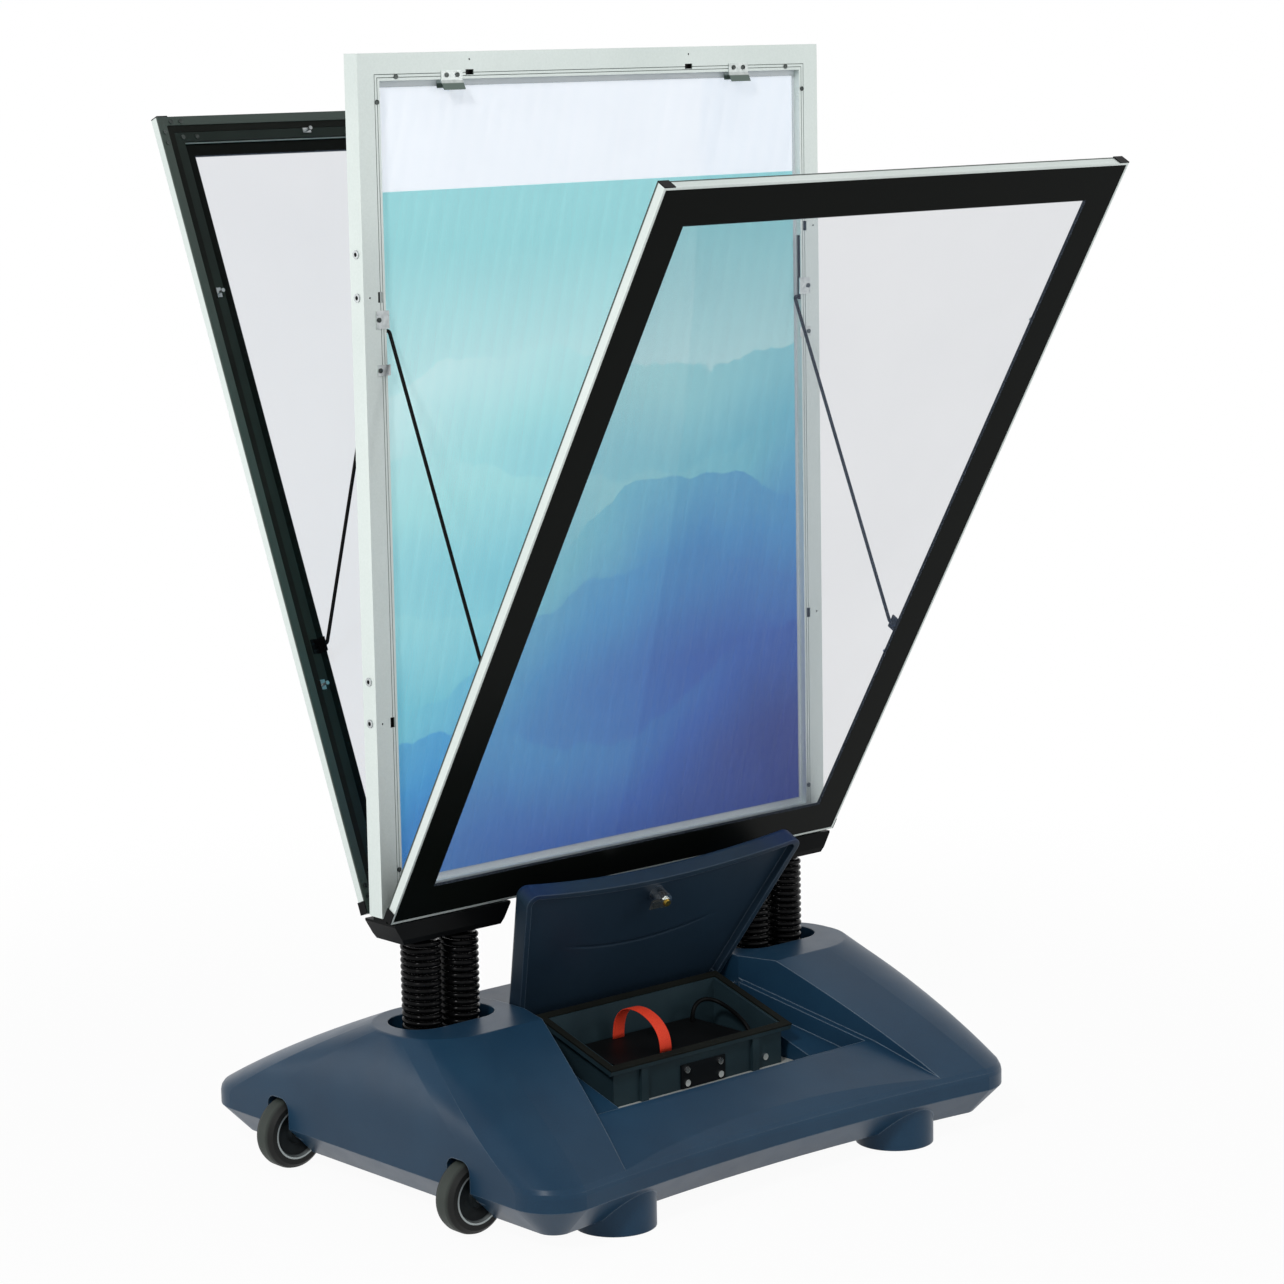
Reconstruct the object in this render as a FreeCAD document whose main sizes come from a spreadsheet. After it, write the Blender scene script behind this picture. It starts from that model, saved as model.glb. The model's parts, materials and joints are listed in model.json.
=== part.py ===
import FreeCAD, Part
import math
import os
import Sketcher
from FreeCAD import Placement, Rotation, Vector

# Illuminated pavement sign on a sprung, water-filled base.
# Millimetres, +Z up, front towards -Y, origin on the ground under the middle of the base.
# Doors and battery lid stand open as in the reference picture.

doc = FreeCAD.newDocument("PavementSign")
sheet = doc.addObject("Spreadsheet::Sheet", "Sizes")

# Every size, in millimetres or degrees, or the sum that gives it from sizes above it.
table = [
    # clearances
    ("slide_gap", 0.1),
    ("curve_gap", 0.3),
    ("pin_gap", 0.05),
    # central frame
    ("poster_width", 594),
    ("poster_height", 841),
    ("frame_side", 33),
    ("frame_end", 35.5),
    ("frame_width", "=poster_width + 2 * frame_side"),
    ("frame_height", "=poster_height + 2 * frame_end"),
    ("frame_depth", 22),
    ("frame_bottom", 312),
    ("rail_width", 28.5),
    ("rail_wall", 2),
    ("chamber_width", 11),
    ("face_line_outer", 21.5),
    ("face_line_inner", 24.8),
    ("face_line", 0.8),
    ("guide_thick", 5.6),
    ("guide_groove", 9),
    ("led_thick", 1.8),
    ("led_end", 20),
    ("cleat_arm", 45),
    ("poster_thick", 0.3),
    ("cover_margin", 1.5),
    ("cover_thick", 0.6),
    # poster clips
    ("clip_x", 206),
    ("clip_width", 29),
    ("clip_plate", 9),
    ("clip_thick", 0.8),
    ("clip_finger", 9),
    ("clip_flap_drop", 11),
    ("clip_flap_reach", 5),
    # small screws of the frame
    ("screw_head", 2.6),
    ("screw_head_high", 0.9),
    ("screw_shank", 1.3),
    ("screw_long", 4.5),
    ("screw_inset", 24.4),
    ("corner_screw_run", 50),
    # doors
    ("door_thick", 12),
    ("door_gap", 2.4),
    ("door_drop", 2),
    ("front_door_angle", 30),
    ("rear_door_angle", 22),
    ("door_lip", 2.5),
    ("door_wall", 4),
    ("door_flange", 10.3),
    ("flange_thick", 2),
    ("web_width", 30),
    ("web_thick", 2.5),
    ("pane_thick", 3.6),
    ("pane_setback", 0.4),
    ("seal_width", 7.7),
    ("seal_thick", 4.5),
    ("retainer_width", 11),
    ("retainer_thick", 4),
    ("cap_long", 14),
    ("cap_thick", 1.2),
    # hook catches and their slots
    ("catch_top_outer", 181.4),
    ("catch_top_inner", 131.2),
    ("catch_side_low", 208.5),
    ("catch_side_high", 659),
    ("catch_stagger", 45),
    ("catch_inset", 21.5),
    ("catch_pin", 1.6),
    ("catch_hook", 2.3),
    ("catch_reach", 5.2),
    ("slot_width", 5.6),
    ("slot_long", 11),
    ("slot_deep", 6),
    ("key_hole", 1.1),
    ("key_hole_step", 13.3),
    ("eyelet_outer", 4.6),
    ("eyelet_hole", 2.3),
    ("eyelet_sleeve", 3.4),
    ("eyelet_proud", 1),
    ("eyelet_deep", 4),
    # door hinges
    ("knuckle_radius", 2.5),
    ("hinge_pin", 1.5),
    ("hinge_drop", 2.7),
    ("hinge_spacing", 108),
    ("leaf_width", 40),
    ("leaf_high", 17.5),
    ("leaf_thick", 1.1),
    ("knuckle_middle", 15.4),
    # door stays
    ("stay_wire", 2),
    ("stay_line", 6.9),
    ("stay_pivot", 299),
    ("stay_length", 393.5),
    ("stay_side", 6.5),
    ("stay_bend", 3),
    ("stay_lower_leg", 5.6),
    ("stay_upper_leg", 13),
    ("stay_slot_deep", 8.5),
    ("stay_slot_high", 6),
    ("stay_slot_end", 1.5),
    ("bracket_ear", 1.6),
    ("bracket_high", 16),
    ("keeper_high_upper", 19),
    ("keeper_high_lower", 11.5),
    ("keeper_upper_foot", 626),
    ("keeper_lower_foot", 577),
    ("keeper_thick", 1.2),
    ("keeper_screw_inset", 18.2),
    # saddles and springs
    ("saddle_inset", 85),
    ("saddle_x", "=frame_width / 2 - saddle_inset"),
    ("saddle_top_length", 160),
    ("saddle_foot_length", 134),
    ("saddle_height", 30),
    ("saddle_width", 52),
    ("saddle_foot_width", 48),
    ("saddle_shoulder", 6),
    ("saddle_pocket", 10),
    ("spring_step", 55),
    ("spring_outer", 21.9),
    ("spring_wire", 6.7),
    ("spring_turns", 20.5),
    ("spring_bend", 7.5),
    ("well_clear", 1.05),
    ("bolt_shank", 3),
    ("bolt_head", 5.5),
    ("bolt_head_high", 6),
    ("saddle_bolt_x", 58),
    ("anchor_bolt_x", 56),
    ("anchor_thick", 5),
    # base tank
    ("base_reach", 47),
    ("base_length", "=frame_width + base_reach"),
    ("base_width", 608),
    ("corner_radius", 52),
    ("edge_bow", 20),
    ("deck_height", 186.5),
    ("pad_out", 13),
    ("pad_x", "=saddle_x + pad_out"),
    ("pad_front", 88),
    ("pad_rear", 60),
    ("hip_angle", 40),
    ("hip_run", 60),
    ("end_angle", 15),
    ("end_swell", 0.32),
    ("hip_swell", 0.03),
    ("slope_swell", 0.05),
    ("band_round", 6),
    ("band_share", 0.03),
    ("deck_round", 4),
    ("dip_half", 140),
    ("dip_flare", 25),
    ("dip_floor", 172),
    ("band_top", 72),
    ("band_bottom", 51),
    ("skirt_bottom", 18),
    ("skirt_inset", 32),
    ("base_wall", 5),
    ("foot_radius", 44),
    ("foot_inset_x", 143.5),
    ("foot_inset_y", 61),
    ("foot_x", "=base_length / 2 - foot_inset_x"),
    ("foot_y", "=base_width / 2 - foot_inset_y"),
    ("well_floor", 105),
    ("well_radius", 36),
    ("well_spread", 28.7),
    # bay for the battery box
    ("bay_rear", 16),
    ("bay_rear_half", 161),
    ("bay_knee", 40),
    ("bay_front_half", 239),
    ("bay_front", 300),
    ("seat_crease", 210),
    ("pit_ledge", 9),
    ("pit_half", 143),
    ("pit_front", 205),
    ("pit_floor", 86),
    ("seat_step", 20),
    # battery box
    ("seat_gap", 0.8),
    ("lid_slope", 17),
    ("rim_rear_y", 28.7),
    ("rim_rear_z", 169.7),
    ("rim_length", 131.7),
    ("rim_half", 135.5),
    ("rim_thick", 5),
    ("box_half", 126),
    ("box_rear", 36),
    ("box_front", 147),
    ("box_wall", 3),
    ("box_floor", 4),
    ("tray_thick", 2),
    ("tray_margin", 1),
    ("rib_x", 83.5),
    ("rib_width", 10),
    ("rib_proud", 4),
    ("seal_ring", 9),
    ("seal_high", 2),
    ("battery_length", 190),
    ("battery_width", 92),
    ("battery_height", 38),
    ("battery_x", 14),
    ("strap_width", 17),
    ("strap_thick", 1.5),
    ("strap_span", 84),
    ("strap_rise", 40),
    ("strap_x", 35),
    ("cable_radius", 2.5),
    ("gland_gap", 0.3),
    ("cable_bend", 16),
    ("catch_plate_half", 33),
    ("catch_plate_x", 5),
    ("catch_plate_high", 27),
    ("catch_plate_thick", 2),
    ("box_screw_head", 3.8),
    ("box_screw_head_high", 2),
    ("box_screw_shank", 2),
    ("box_screw_long", 4.5),
    # battery lid
    ("lid_pivot_y", 27.7),
    ("lid_pivot_z", 150.6),
    ("lid_open", 79.5),
    ("lid_length", 196.5),
    ("lid_bow", 17),
    ("lid_rear_half", 147),
    ("lid_front_half", 207),
    ("lid_rear", 8),
    ("lid_inner", 22.5),
    ("lid_rim", 9),
    ("lid_rim_width", 7),
    ("lid_thick", 15.5),
    ("lid_round", 7),
    ("lid_box_gap", 2),
    ("ear_thick", 3.5),
    ("ear_radius", 9),
    ("lid_pin", 3),
    ("lid_pin_long", 22),
    ("lock_along", 151),
    ("lock_x", 3),
    ("lock_radius", 9),
    ("lock_hang", 17),
    ("lock_flange", 12),
    ("cam_long", 23),
    ("cam_width", 11),
    ("cam_thick", 2.5),
    ("cam_post", 4),
    # wheels
    ("wheel_radius", 40.5),
    ("wheel_width", 28),
    ("wheel_inset_x", 16.5),
    ("wheel_inset_y", 145),
    ("wheel_x", "=base_length / 2 - wheel_inset_x"),
    ("wheel_y", "=base_width / 2 - wheel_inset_y"),
    ("wheel_lift", 1),
    ("rim_radius", 29),
    ("tyre_round", 8),
    ("axle_radius", 5),
    ("axle_long", 56),
    ("arch_gap", 5),
    ("arch_round", 12),
    # filler cap
    ("filler_inset", 99),
    ("filler_y", "=base_width / 2 - filler_inset"),
    ("filler_radius", 22),
    ("filler_neck", 16),
    ("filler_floor", 92),
    ("filler_high", 9),
]

for row, (alias, number) in enumerate(table, start=1):
    sheet.set("A%d" % row, alias)
    sheet.set("B%d" % row, str(number))
    sheet.setAlias("B%d" % row, alias)
doc.recompute()


class Size:
    # A number together with the sheet expression that gives it.
    def __init__(self, value, words):
        self.value = value
        self.words = words

    def __float__(self):
        return float(self.value)

    def __add__(self, other):
        return Size(float(self) + float(other), "(%s + %s)" % (words(self), words(other)))

    def __radd__(self, other):
        return Size(float(other) + float(self), "(%s + %s)" % (words(other), words(self)))

    def __sub__(self, other):
        return Size(float(self) - float(other), "(%s - %s)" % (words(self), words(other)))

    def __rsub__(self, other):
        return Size(float(other) - float(self), "(%s - %s)" % (words(other), words(self)))

    def __mul__(self, other):
        return Size(float(self) * float(other), "(%s * %s)" % (words(self), words(other)))

    def __rmul__(self, other):
        return Size(float(other) * float(self), "(%s * %s)" % (words(other), words(self)))

    def __truediv__(self, other):
        return Size(float(self) / float(other), "(%s / %s)" % (words(self), words(other)))

    def __neg__(self):
        return Size(-float(self), "(0 - %s)" % words(self))


def words(number):
    return number.words if isinstance(number, Size) else repr(float(number))


class Sizes:
    # Gives each cell of the sheet by its alias.
    def __getattr__(self, alias):
        return Size(float(sheet.get(alias)), "Sizes." + alias)


s = Sizes()
pieces = []


def bind(item, setting, number):
    item.setExpression(setting, words(number))


def move(item, x, y, z):
    bind(item, "Placement.Base.x", x)
    bind(item, "Placement.Base.y", y)
    bind(item, "Placement.Base.z", z)


def box(name, low, high):
    # A block from one corner to the opposite one.
    item = doc.addObject("Part::Box", name)
    bind(item, "Length", high[0] - low[0])
    bind(item, "Width", high[1] - low[1])
    bind(item, "Height", high[2] - low[2])
    move(item, *low)
    return item


turns = {
    "x": Rotation(Vector(0, 1, 0), 90),
    "y": Rotation(Vector(1, 0, 0), -90),
    "z": Rotation(),
}


def cylinder(name, radius, start, long, axis):
    # A round bar that runs from start along +axis.
    item = doc.addObject("Part::Cylinder", name)
    item.Placement = Placement(Vector(), turns[axis])
    bind(item, "Radius", radius)
    bind(item, "Height", long)
    move(item, *start)
    return item


def outline(body, name, role, loops, start):
    # A sketch of closed polygons on an origin plane, shifted along its normal.
    sketch = body.newObject("Sketcher::SketchObject", name)
    plane = [f for f in body.Origin.OriginFeatures if f.Role == role][0]
    sketch.AttachmentSupport = [(plane, "")]
    sketch.MapMode = "FlatFace"
    bind(sketch, "AttachmentOffset.Base.z", start)
    for points in loops:
        first = sketch.GeometryCount
        count = len(points)
        corners = [Vector(float(x), float(y), 0) for x, y in points]
        for i in range(count):
            sketch.addGeometry(Part.LineSegment(corners[i], corners[(i + 1) % count]))
        for i in range(count):
            line = first + i
            after = first + (i + 1) % count
            sketch.addConstraint(Sketcher.Constraint("Coincident", line, 2, after, 1))
        for i, (x, y) in enumerate(points):
            line = first + i
            for kind, number, axis in (("DistanceX", x, -2), ("DistanceY", y, -1)):
                if float(number) == 0:
                    sketch.addConstraint(Sketcher.Constraint("PointOnObject", line, 1, axis))
                    continue
                rule = Sketcher.Constraint(kind, -1, 1, line, 1, float(number))
                index = sketch.addConstraint(rule)
                bind(sketch, "Constraints[%d]" % index, number)
    return sketch


def prism(name, role, loops, start, long):
    # A body with one pad: the loops are drawn on the plane and padded along its normal.
    body = doc.addObject("PartDesign::Body", name)
    sketch = outline(body, name + "Outline", role, loops, start)
    pad = body.newObject("PartDesign::Pad", name + "Pad")
    pad.Profile = sketch
    bind(pad, "Length", long)
    return body


def wheel_form(name, points):
    # A body of revolution about Y: each point is (radius, distance along Y).
    body = doc.addObject("PartDesign::Body", name)
    sketch = outline(body, name + "Outline", "XY_Plane", [points], 0)
    turn = body.newObject("PartDesign::Revolution", name + "Turn")
    turn.Profile = sketch
    turn.ReferenceAxis = (sketch, ["V_Axis"])
    turn.Angle = 360
    return body


def group(name, items):
    item = doc.addObject("Part::Compound", name)
    item.Links = items
    return item


def cut(name, base, tools):
    item = doc.addObject("Part::Cut", name)
    item.Base = base
    item.Tool = tools[0] if len(tools) == 1 else fuse(name + "Tool", tools)
    return item


def fuse(name, items):
    item = doc.addObject("Part::MultiFuse", name)
    item.Shapes = items
    return item


def common(name, first, second):
    item = doc.addObject("Part::Common", name)
    item.Base = first
    item.Tool = second
    return item


def formed(name, shape):
    # A sub-part whose shape is computed directly.
    item = doc.addObject("Part::Feature", name)
    item.Shape = shape
    return item


def piece(label, item, place=None):
    item.Label = label
    if place is not None:
        item.Placement = place.multiply(item.Placement)
    pieces.append(item)


def block(x0, x1, y0, y1, z0, z1):
    low = Vector(min(x0, x1), min(y0, y1), min(z0, z1))
    return Part.makeBox(abs(x1 - x0), abs(y1 - y0), abs(z1 - z0), low)


def bar(start, end, radius):
    line = end - start
    return Part.makeCylinder(radius, line.Length, start, line)


def extruded(points, along):
    # A solid from a closed polygon of points, swept along a vector.
    wire = Part.makePolygon(points + points[:1])
    return Part.Face(wire).extrude(along)


def bent_wire(points, bend, radius):
    # A round wire along straight runs joined by bends of one radius.
    edges = []
    at = points[0]
    for before, corner, after in zip(points, points[1:], points[2:]):
        come = (corner - before).normalize()
        go = (after - corner).normalize()
        half = come.getAngle(go) / 2
        reach = bend * math.tan(half)
        start = corner - come * reach
        end = corner + go * reach
        middle = corner + (go - come).normalize() * (bend / math.cos(half) - bend)
        edges.append(Part.makeLine(at, start))
        edges.append(Part.Arc(start, middle, end).toShape())
        at = end
    edges.append(Part.makeLine(at, points[-1]))
    return swept(edges, points[0], points[1] - points[0], radius)


def swept(edges, start, direction, radius):
    # A round section carried along joined edges as one unbroken tube.
    section = Part.Wire(Part.makeCircle(radius, start, direction))
    return Part.Wire(edges).makePipeShell([section], True, False)


class Numbers:
    # Gives each cell as a plain number, for shapes computed directly.
    def __getattr__(self, alias):
        return float(sheet.get(alias))


n = Numbers()


def screw(at, out, head, head_high, shank, long):
    # A round-headed screw seated at a point, its head standing out along a unit vector.
    whole = bar(at, at + out * head_high, head).fuse(bar(at, at - out * long, shank))
    return whole.removeSplitter()


def small_screw(at, out):
    return screw(at, out, n.screw_head, n.screw_head_high, n.screw_shank, n.screw_long)


def small_hole(at, out):
    # The hole that takes a small screw, open a little above the surface.
    deep = n.screw_long + n.slide_gap
    return bar(at + out * 3, at - out * deep, n.screw_shank + n.slide_gap)


def toward(side, number):
    return number if side > 0 else -number


def mitred(name, section, long, high, place):
    # A bar of one section along X with both ends cut at 45 degrees.
    stock = prism(name + "Bar", "YZ_Plane", section, -long / 2, long)
    low = [(-long / 2, 0), (long / 2, 0)]
    top = [(long / 2 - high, high), (high - long / 2, high)]
    ends = prism(name + "Ends", "XZ_Plane", [low + top], -60, 120)
    item = common(name, stock, ends)
    item.Placement = place
    return item


def four_sides(name, section, wide, tall, high, foot):
    # Bottom, top, left and right bars of a mitred frame that stands on the height foot.
    middle = float(foot) + float(tall) / 2
    head = float(foot) + float(tall)
    across = float(wide) / 2
    up = Vector(0, 1, 0)
    return [
        mitred(name + "Bottom", section, wide, high, Placement(Vector(0, 0, float(foot)), Rotation())),
        mitred(name + "Top", section, wide, high, Placement(Vector(0, 0, head), Rotation(up, 180))),
        mitred(name + "Left", section, tall, high, Placement(Vector(-across, 0, middle), Rotation(up, 90))),
        mitred(name + "Right", section, tall, high, Placement(Vector(across, 0, middle), Rotation(up, -90))),
    ]


# Shared positions
half_width = n.frame_width / 2
half_depth = n.frame_depth / 2
frame_top = n.frame_bottom + n.frame_height
opening_half = half_width - n.rail_width
door_bottom = n.frame_bottom + n.door_drop
door_face = half_depth + n.door_gap
hinge_y = half_depth + n.knuckle_radius
hinge_z = door_bottom - n.hinge_drop
angles = {-1: n.front_door_angle, 1: n.rear_door_angle}
names = {-1: "front", 1: "rear"}
stay_inward = hinge_y - n.stay_line
stay_x = opening_half - n.stay_side


def stay_foot(side, degrees):
    # Pivot of a stay on its door, with the door open by an angle.
    turn = math.radians(degrees)
    y = hinge_y - stay_inward * math.cos(turn) + n.stay_pivot * math.sin(turn)
    z = hinge_z + stay_inward * math.sin(turn) + n.stay_pivot * math.cos(turn)
    return Vector(0, side * y, z)


def stay_head(side, degrees):
    # Upper end of a stay, which slides up and down inside the stile.
    foot = stay_foot(side, degrees)
    across = abs(foot.y) - n.stay_line
    return Vector(0, side * n.stay_line, foot.z + math.sqrt(n.stay_length ** 2 - across ** 2))


def catches(side):
    # Where the hooks of a door enter the frame: (x, z, runs along the rail as x or z).
    top = frame_top - n.catch_inset
    edge = half_width - n.catch_inset
    low = door_bottom + n.catch_side_low
    high = door_bottom + n.catch_side_high
    step = n.catch_stagger
    return [
        (side * n.catch_top_outer, top, "x"),
        (-side * n.catch_top_inner, top, "x"),
        (side * edge, low, "z"),
        (side * edge, high, "z"),
        (-side * edge, low + step, "z"),
        (-side * edge, high + step, "z"),
    ]


# Central frame: four mitred rails with a chamber, a groove for the light guide and two face lines
groove = s.guide_thick / 2 + s.slide_gap
face = s.frame_depth / 2
cut_back = face - s.face_line
notches = []
for line in (s.face_line_outer, s.face_line_inner):
    notches += [(face, line), (cut_back, line), (cut_back, line + s.face_line), (face, line + s.face_line)]
rail_outline = [(-face, 0), (face, 0)] + notches + [
    (face, s.rail_width),
    (groove, s.rail_width),
    (groove, s.rail_width - s.guide_groove),
    (-groove, s.rail_width - s.guide_groove),
    (-groove, s.rail_width),
    (-face, s.rail_width),
] + [(-y, u) for y, u in reversed(notches)]
chamber_side = face - s.rail_wall
chamber = [
    (-chamber_side, s.rail_wall),
    (chamber_side, s.rail_wall),
    (chamber_side, s.rail_wall + s.chamber_width),
    (-chamber_side, s.rail_wall + s.chamber_width),
]
rails = four_sides(
    "Frame", [rail_outline, chamber], s.frame_width, s.frame_height, s.rail_width, s.frame_bottom
)

frame_screw_seats = []
for side in (-1, 1):
    out = Vector(0, side, 0)
    face_y = side * half_depth
    corner_edge = half_width - n.screw_inset
    for x in (-1, 1):
        run = half_width - n.corner_screw_run
        for z, height in ((frame_top, -1), (n.frame_bottom, 1)):
            frame_screw_seats.append((Vector(x * run, face_y, z + height * n.screw_inset), out))
            frame_screw_seats.append((Vector(x * corner_edge, face_y, z + height * n.corner_screw_run), out))

keeper_seats = []
clip_seats = []
for side in (-1, 1):
    out = Vector(0, side, 0)
    keeper_y = side * (half_depth + n.keeper_thick)
    clip_y = side * (half_depth + n.clip_thick)
    for x in (-1, 1):
        edge = x * (half_width - n.keeper_screw_inset)
        for foot, high in (
            (n.keeper_upper_foot, n.keeper_high_upper),
            (n.keeper_lower_foot, n.keeper_high_lower),
        ):
            keeper_seats.append((Vector(edge, keeper_y, door_bottom + foot + high / 2), out))
        for step in (-n.clip_width / 4, n.clip_width / 4):
            height = frame_top - n.rail_width + n.clip_plate / 2
            clip_seats.append((Vector(x * n.clip_x + step, clip_y, height), out))
seats = frame_screw_seats + keeper_seats + clip_seats

sockets = [small_hole(at, out) for at, out in seats]
for side in (-1, 1):
    for x, z, along in catches(side):
        half_x = n.slot_long / 2 if along == "x" else n.slot_width / 2
        half_z = n.slot_width / 2 if along == "x" else n.slot_long / 2
        deep = side * (half_depth - n.slot_deep)
        sockets.append(block(x - half_x, x + half_x, deep, side * (half_depth + 1), z - half_z, z + half_z))
        hole = Vector(x, side * half_depth, z)
        if along == "x":
            hole.z += n.key_hole_step
        else:
            hole.x += math.copysign(n.key_hole_step, x)
            start = Vector(math.copysign(half_width - n.eyelet_deep - 1, x), 0, z)
            end = Vector(math.copysign(half_width + 1, x), 0, z)
            sockets.append(bar(start, end, n.eyelet_sleeve + n.slide_gap))
        inward = Vector(0, side, 0)
        sockets.append(bar(hole - inward * (n.rail_wall + 1), hole + inward, n.key_hole))
    low = stay_head(side, angles[side]).z - n.stay_wire - n.stay_slot_end
    high = stay_head(side, 0).z + n.stay_wire + n.stay_slot_end
    near = side * (n.stay_line - n.stay_slot_high / 2)
    far = side * (n.stay_line + n.stay_slot_high / 2)
    for x in (-1, 1):
        inner = x * (opening_half - 1)
        sockets.append(block(inner, x * (opening_half + n.stay_slot_deep), near, far, low, high))
bolt_spots = []
for x in (-n.saddle_x, n.saddle_x):
    for step in (-n.saddle_bolt_x, n.saddle_bolt_x):
        bolt_spots.append(x + step)
for x in bolt_spots:
    foot = Vector(x, 0, n.frame_bottom - 1)
    sockets.append(bar(foot, foot + Vector(0, 0, n.rail_wall + 2), n.bolt_shank + n.slide_gap))
frame_sockets = formed("FrameSockets", Part.makeCompound(sockets))

for label, rail in zip(("frame_bottom_rail", "frame_top_rail", "frame_left_stile", "frame_right_stile"), rails):
    piece(label, cut(label.title().replace("_", ""), rail, [frame_sockets]))

cleats = []
for x in (-1, 1):
    for z, up in ((n.frame_bottom, 1), (frame_top, -1)):
        near = n.rail_wall + 2 * n.slide_gap
        far = n.rail_wall + n.chamber_width - 2 * n.slide_gap
        deep = half_depth - n.rail_wall - 2 * n.slide_gap
        x0 = x * (half_width - near)
        x1 = x * (half_width - far)
        z0 = z + up * near
        z1 = z + up * far
        flat = block(x0, x * (half_width - n.cleat_arm), -deep, deep, z0, z1)
        tall = block(x0, x1, -deep, deep, z0, z + up * n.cleat_arm)
        cleats.append(flat.fuse(tall).removeSplitter())
piece("corner_cleats", formed("CornerCleats", Part.makeCompound(cleats)))

piece("frame_screws", formed("FrameScrews", Part.makeCompound([small_screw(at, out) for at, out in seats])))

# Light guide, lamps, posters and their clear covers
guide_inset = s.rail_width - s.guide_groove + s.led_thick + 2 * s.slide_gap
guide_top = s.frame_bottom + s.frame_height - guide_inset
piece("light_guide", group("LightGuide", [box(
    "GuideSheet",
    (guide_inset - s.frame_width / 2, -s.guide_thick / 2, s.frame_bottom + guide_inset),
    (s.frame_width / 2 - guide_inset, s.guide_thick / 2, guide_top),
)]))
led_low = s.rail_width - s.guide_groove
led_half = s.frame_width / 2 - s.rail_width - s.led_end
led_strips = []
for name, foot in (
    ("LedBottom", s.frame_bottom + led_low),
    ("LedTop", s.frame_bottom + s.frame_height - led_low - s.led_thick),
):
    led_side = s.guide_thick / 2 - s.slide_gap
    led_strips.append(box(name, (-led_half, -led_side, foot), (led_half, led_side, foot + s.led_thick)))
piece("led_strips", group("LedStrips", led_strips))

sheet_middle = s.frame_bottom + s.frame_height / 2
covers = []
for side in (-1, 1):
    inner = toward(side, s.guide_thick / 2)
    outer = toward(side, s.guide_thick / 2 + s.poster_thick)
    low = (-s.poster_width / 2, inner if side > 0 else outer, sheet_middle - s.poster_height / 2)
    high = (s.poster_width / 2, outer if side > 0 else inner, sheet_middle + s.poster_height / 2)
    name = names[side].title()
    piece("poster_" + names[side], group(name + "Poster", [box(name + "PosterSheet", low, high)]))
    cover_outer = toward(side, s.guide_thick / 2 + s.poster_thick + s.cover_thick)
    wide = s.poster_width / 2 + s.cover_margin
    tall = s.poster_height / 2 + s.cover_margin
    low = (-wide, outer if side > 0 else cover_outer, sheet_middle - tall)
    high = (wide, cover_outer if side > 0 else outer, sheet_middle + tall)
    covers.append(box(name + "Cover", low, high))
piece("cover_sheets", group("CoverSheets", covers))

# Poster clips on the top rail
clips = []
lip_z = frame_top - n.rail_width
cover_face = n.guide_thick / 2 + n.poster_thick + n.cover_thick
for side in (-1, 1):
    for x in (-n.clip_x, n.clip_x):
        left = x - n.clip_width / 2
        right = x + n.clip_width / 2
        plate_in = half_depth
        plate_out = half_depth + n.clip_thick
        finger_in = cover_face
        finger_out = cover_face + n.clip_thick
        profile = [
            (plate_out, lip_z + n.clip_plate),
            (plate_in, lip_z + n.clip_plate),
            (plate_in, lip_z),
            (finger_in, lip_z),
            (finger_in, lip_z - n.clip_finger),
            (finger_out, lip_z - n.clip_finger),
            (finger_out, lip_z - n.clip_thick),
            (plate_in - n.clip_thick, lip_z - n.clip_thick),
            (plate_out + n.clip_flap_reach - n.clip_thick, lip_z - n.clip_flap_drop),
            (plate_out + n.clip_flap_reach, lip_z - n.clip_flap_drop),
            (plate_out, lip_z - n.clip_thick),
        ]
        points = [Vector(left, side * y, z) for y, z in profile]
        clips.append(extruded(points, Vector(right - left, 0, 0)))
clip_holes = Part.makeCompound([small_hole(at, out) for at, out in clip_seats])
piece("poster_clips", formed("PosterClips", Part.makeCompound(clips).cut(clip_holes)))

# Keeper plates that the stay heads run behind, and eyelets over the catch keys
keepers = []
for side in (-1, 1):
    for x in (-1, 1):
        outer = x * (half_width - n.rail_wall - n.chamber_width - n.rail_wall)
        inner = x * (opening_half - n.stay_side / 2)
        for foot, high in (
            (n.keeper_upper_foot, n.keeper_high_upper),
            (n.keeper_lower_foot, n.keeper_high_lower),
        ):
            z = door_bottom + foot
            keepers.append(block(
                outer, inner, side * half_depth, side * (half_depth + n.keeper_thick), z, z + high
            ))
keeper_holes = Part.makeCompound([small_hole(at, out) for at, out in keeper_seats])
piece("stay_keepers", formed("StayKeepers", Part.makeCompound(keepers).cut(keeper_holes)))

eyelets = []
for side in (-1, 1):
    for x, z, along in catches(side):
        if along == "z":
            out = Vector(math.copysign(1, x), 0, 0)
            seat = Vector(math.copysign(half_width, x), 0, z)
            ring = bar(seat, seat + out * n.eyelet_proud, n.eyelet_outer)
            sleeve = bar(seat, seat - out * n.eyelet_deep, n.eyelet_sleeve)
            bore = bar(seat - out * (n.eyelet_deep + 1), seat + out * (n.eyelet_proud + 1), n.eyelet_hole)
            eyelets.append(ring.fuse(sleeve).cut(bore).removeSplitter())
piece("catch_eyelets", formed("CatchEyelets", Part.makeCompound(eyelets)))

# Door hinges: the leaf on the frame carries the pin, the leaf on the door turns on it
hinge_spots = (-n.hinge_spacing, 0, n.hinge_spacing)
leaf_foot = door_bottom + n.slide_gap * 6
leaf_head = door_bottom + n.leaf_high


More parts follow.
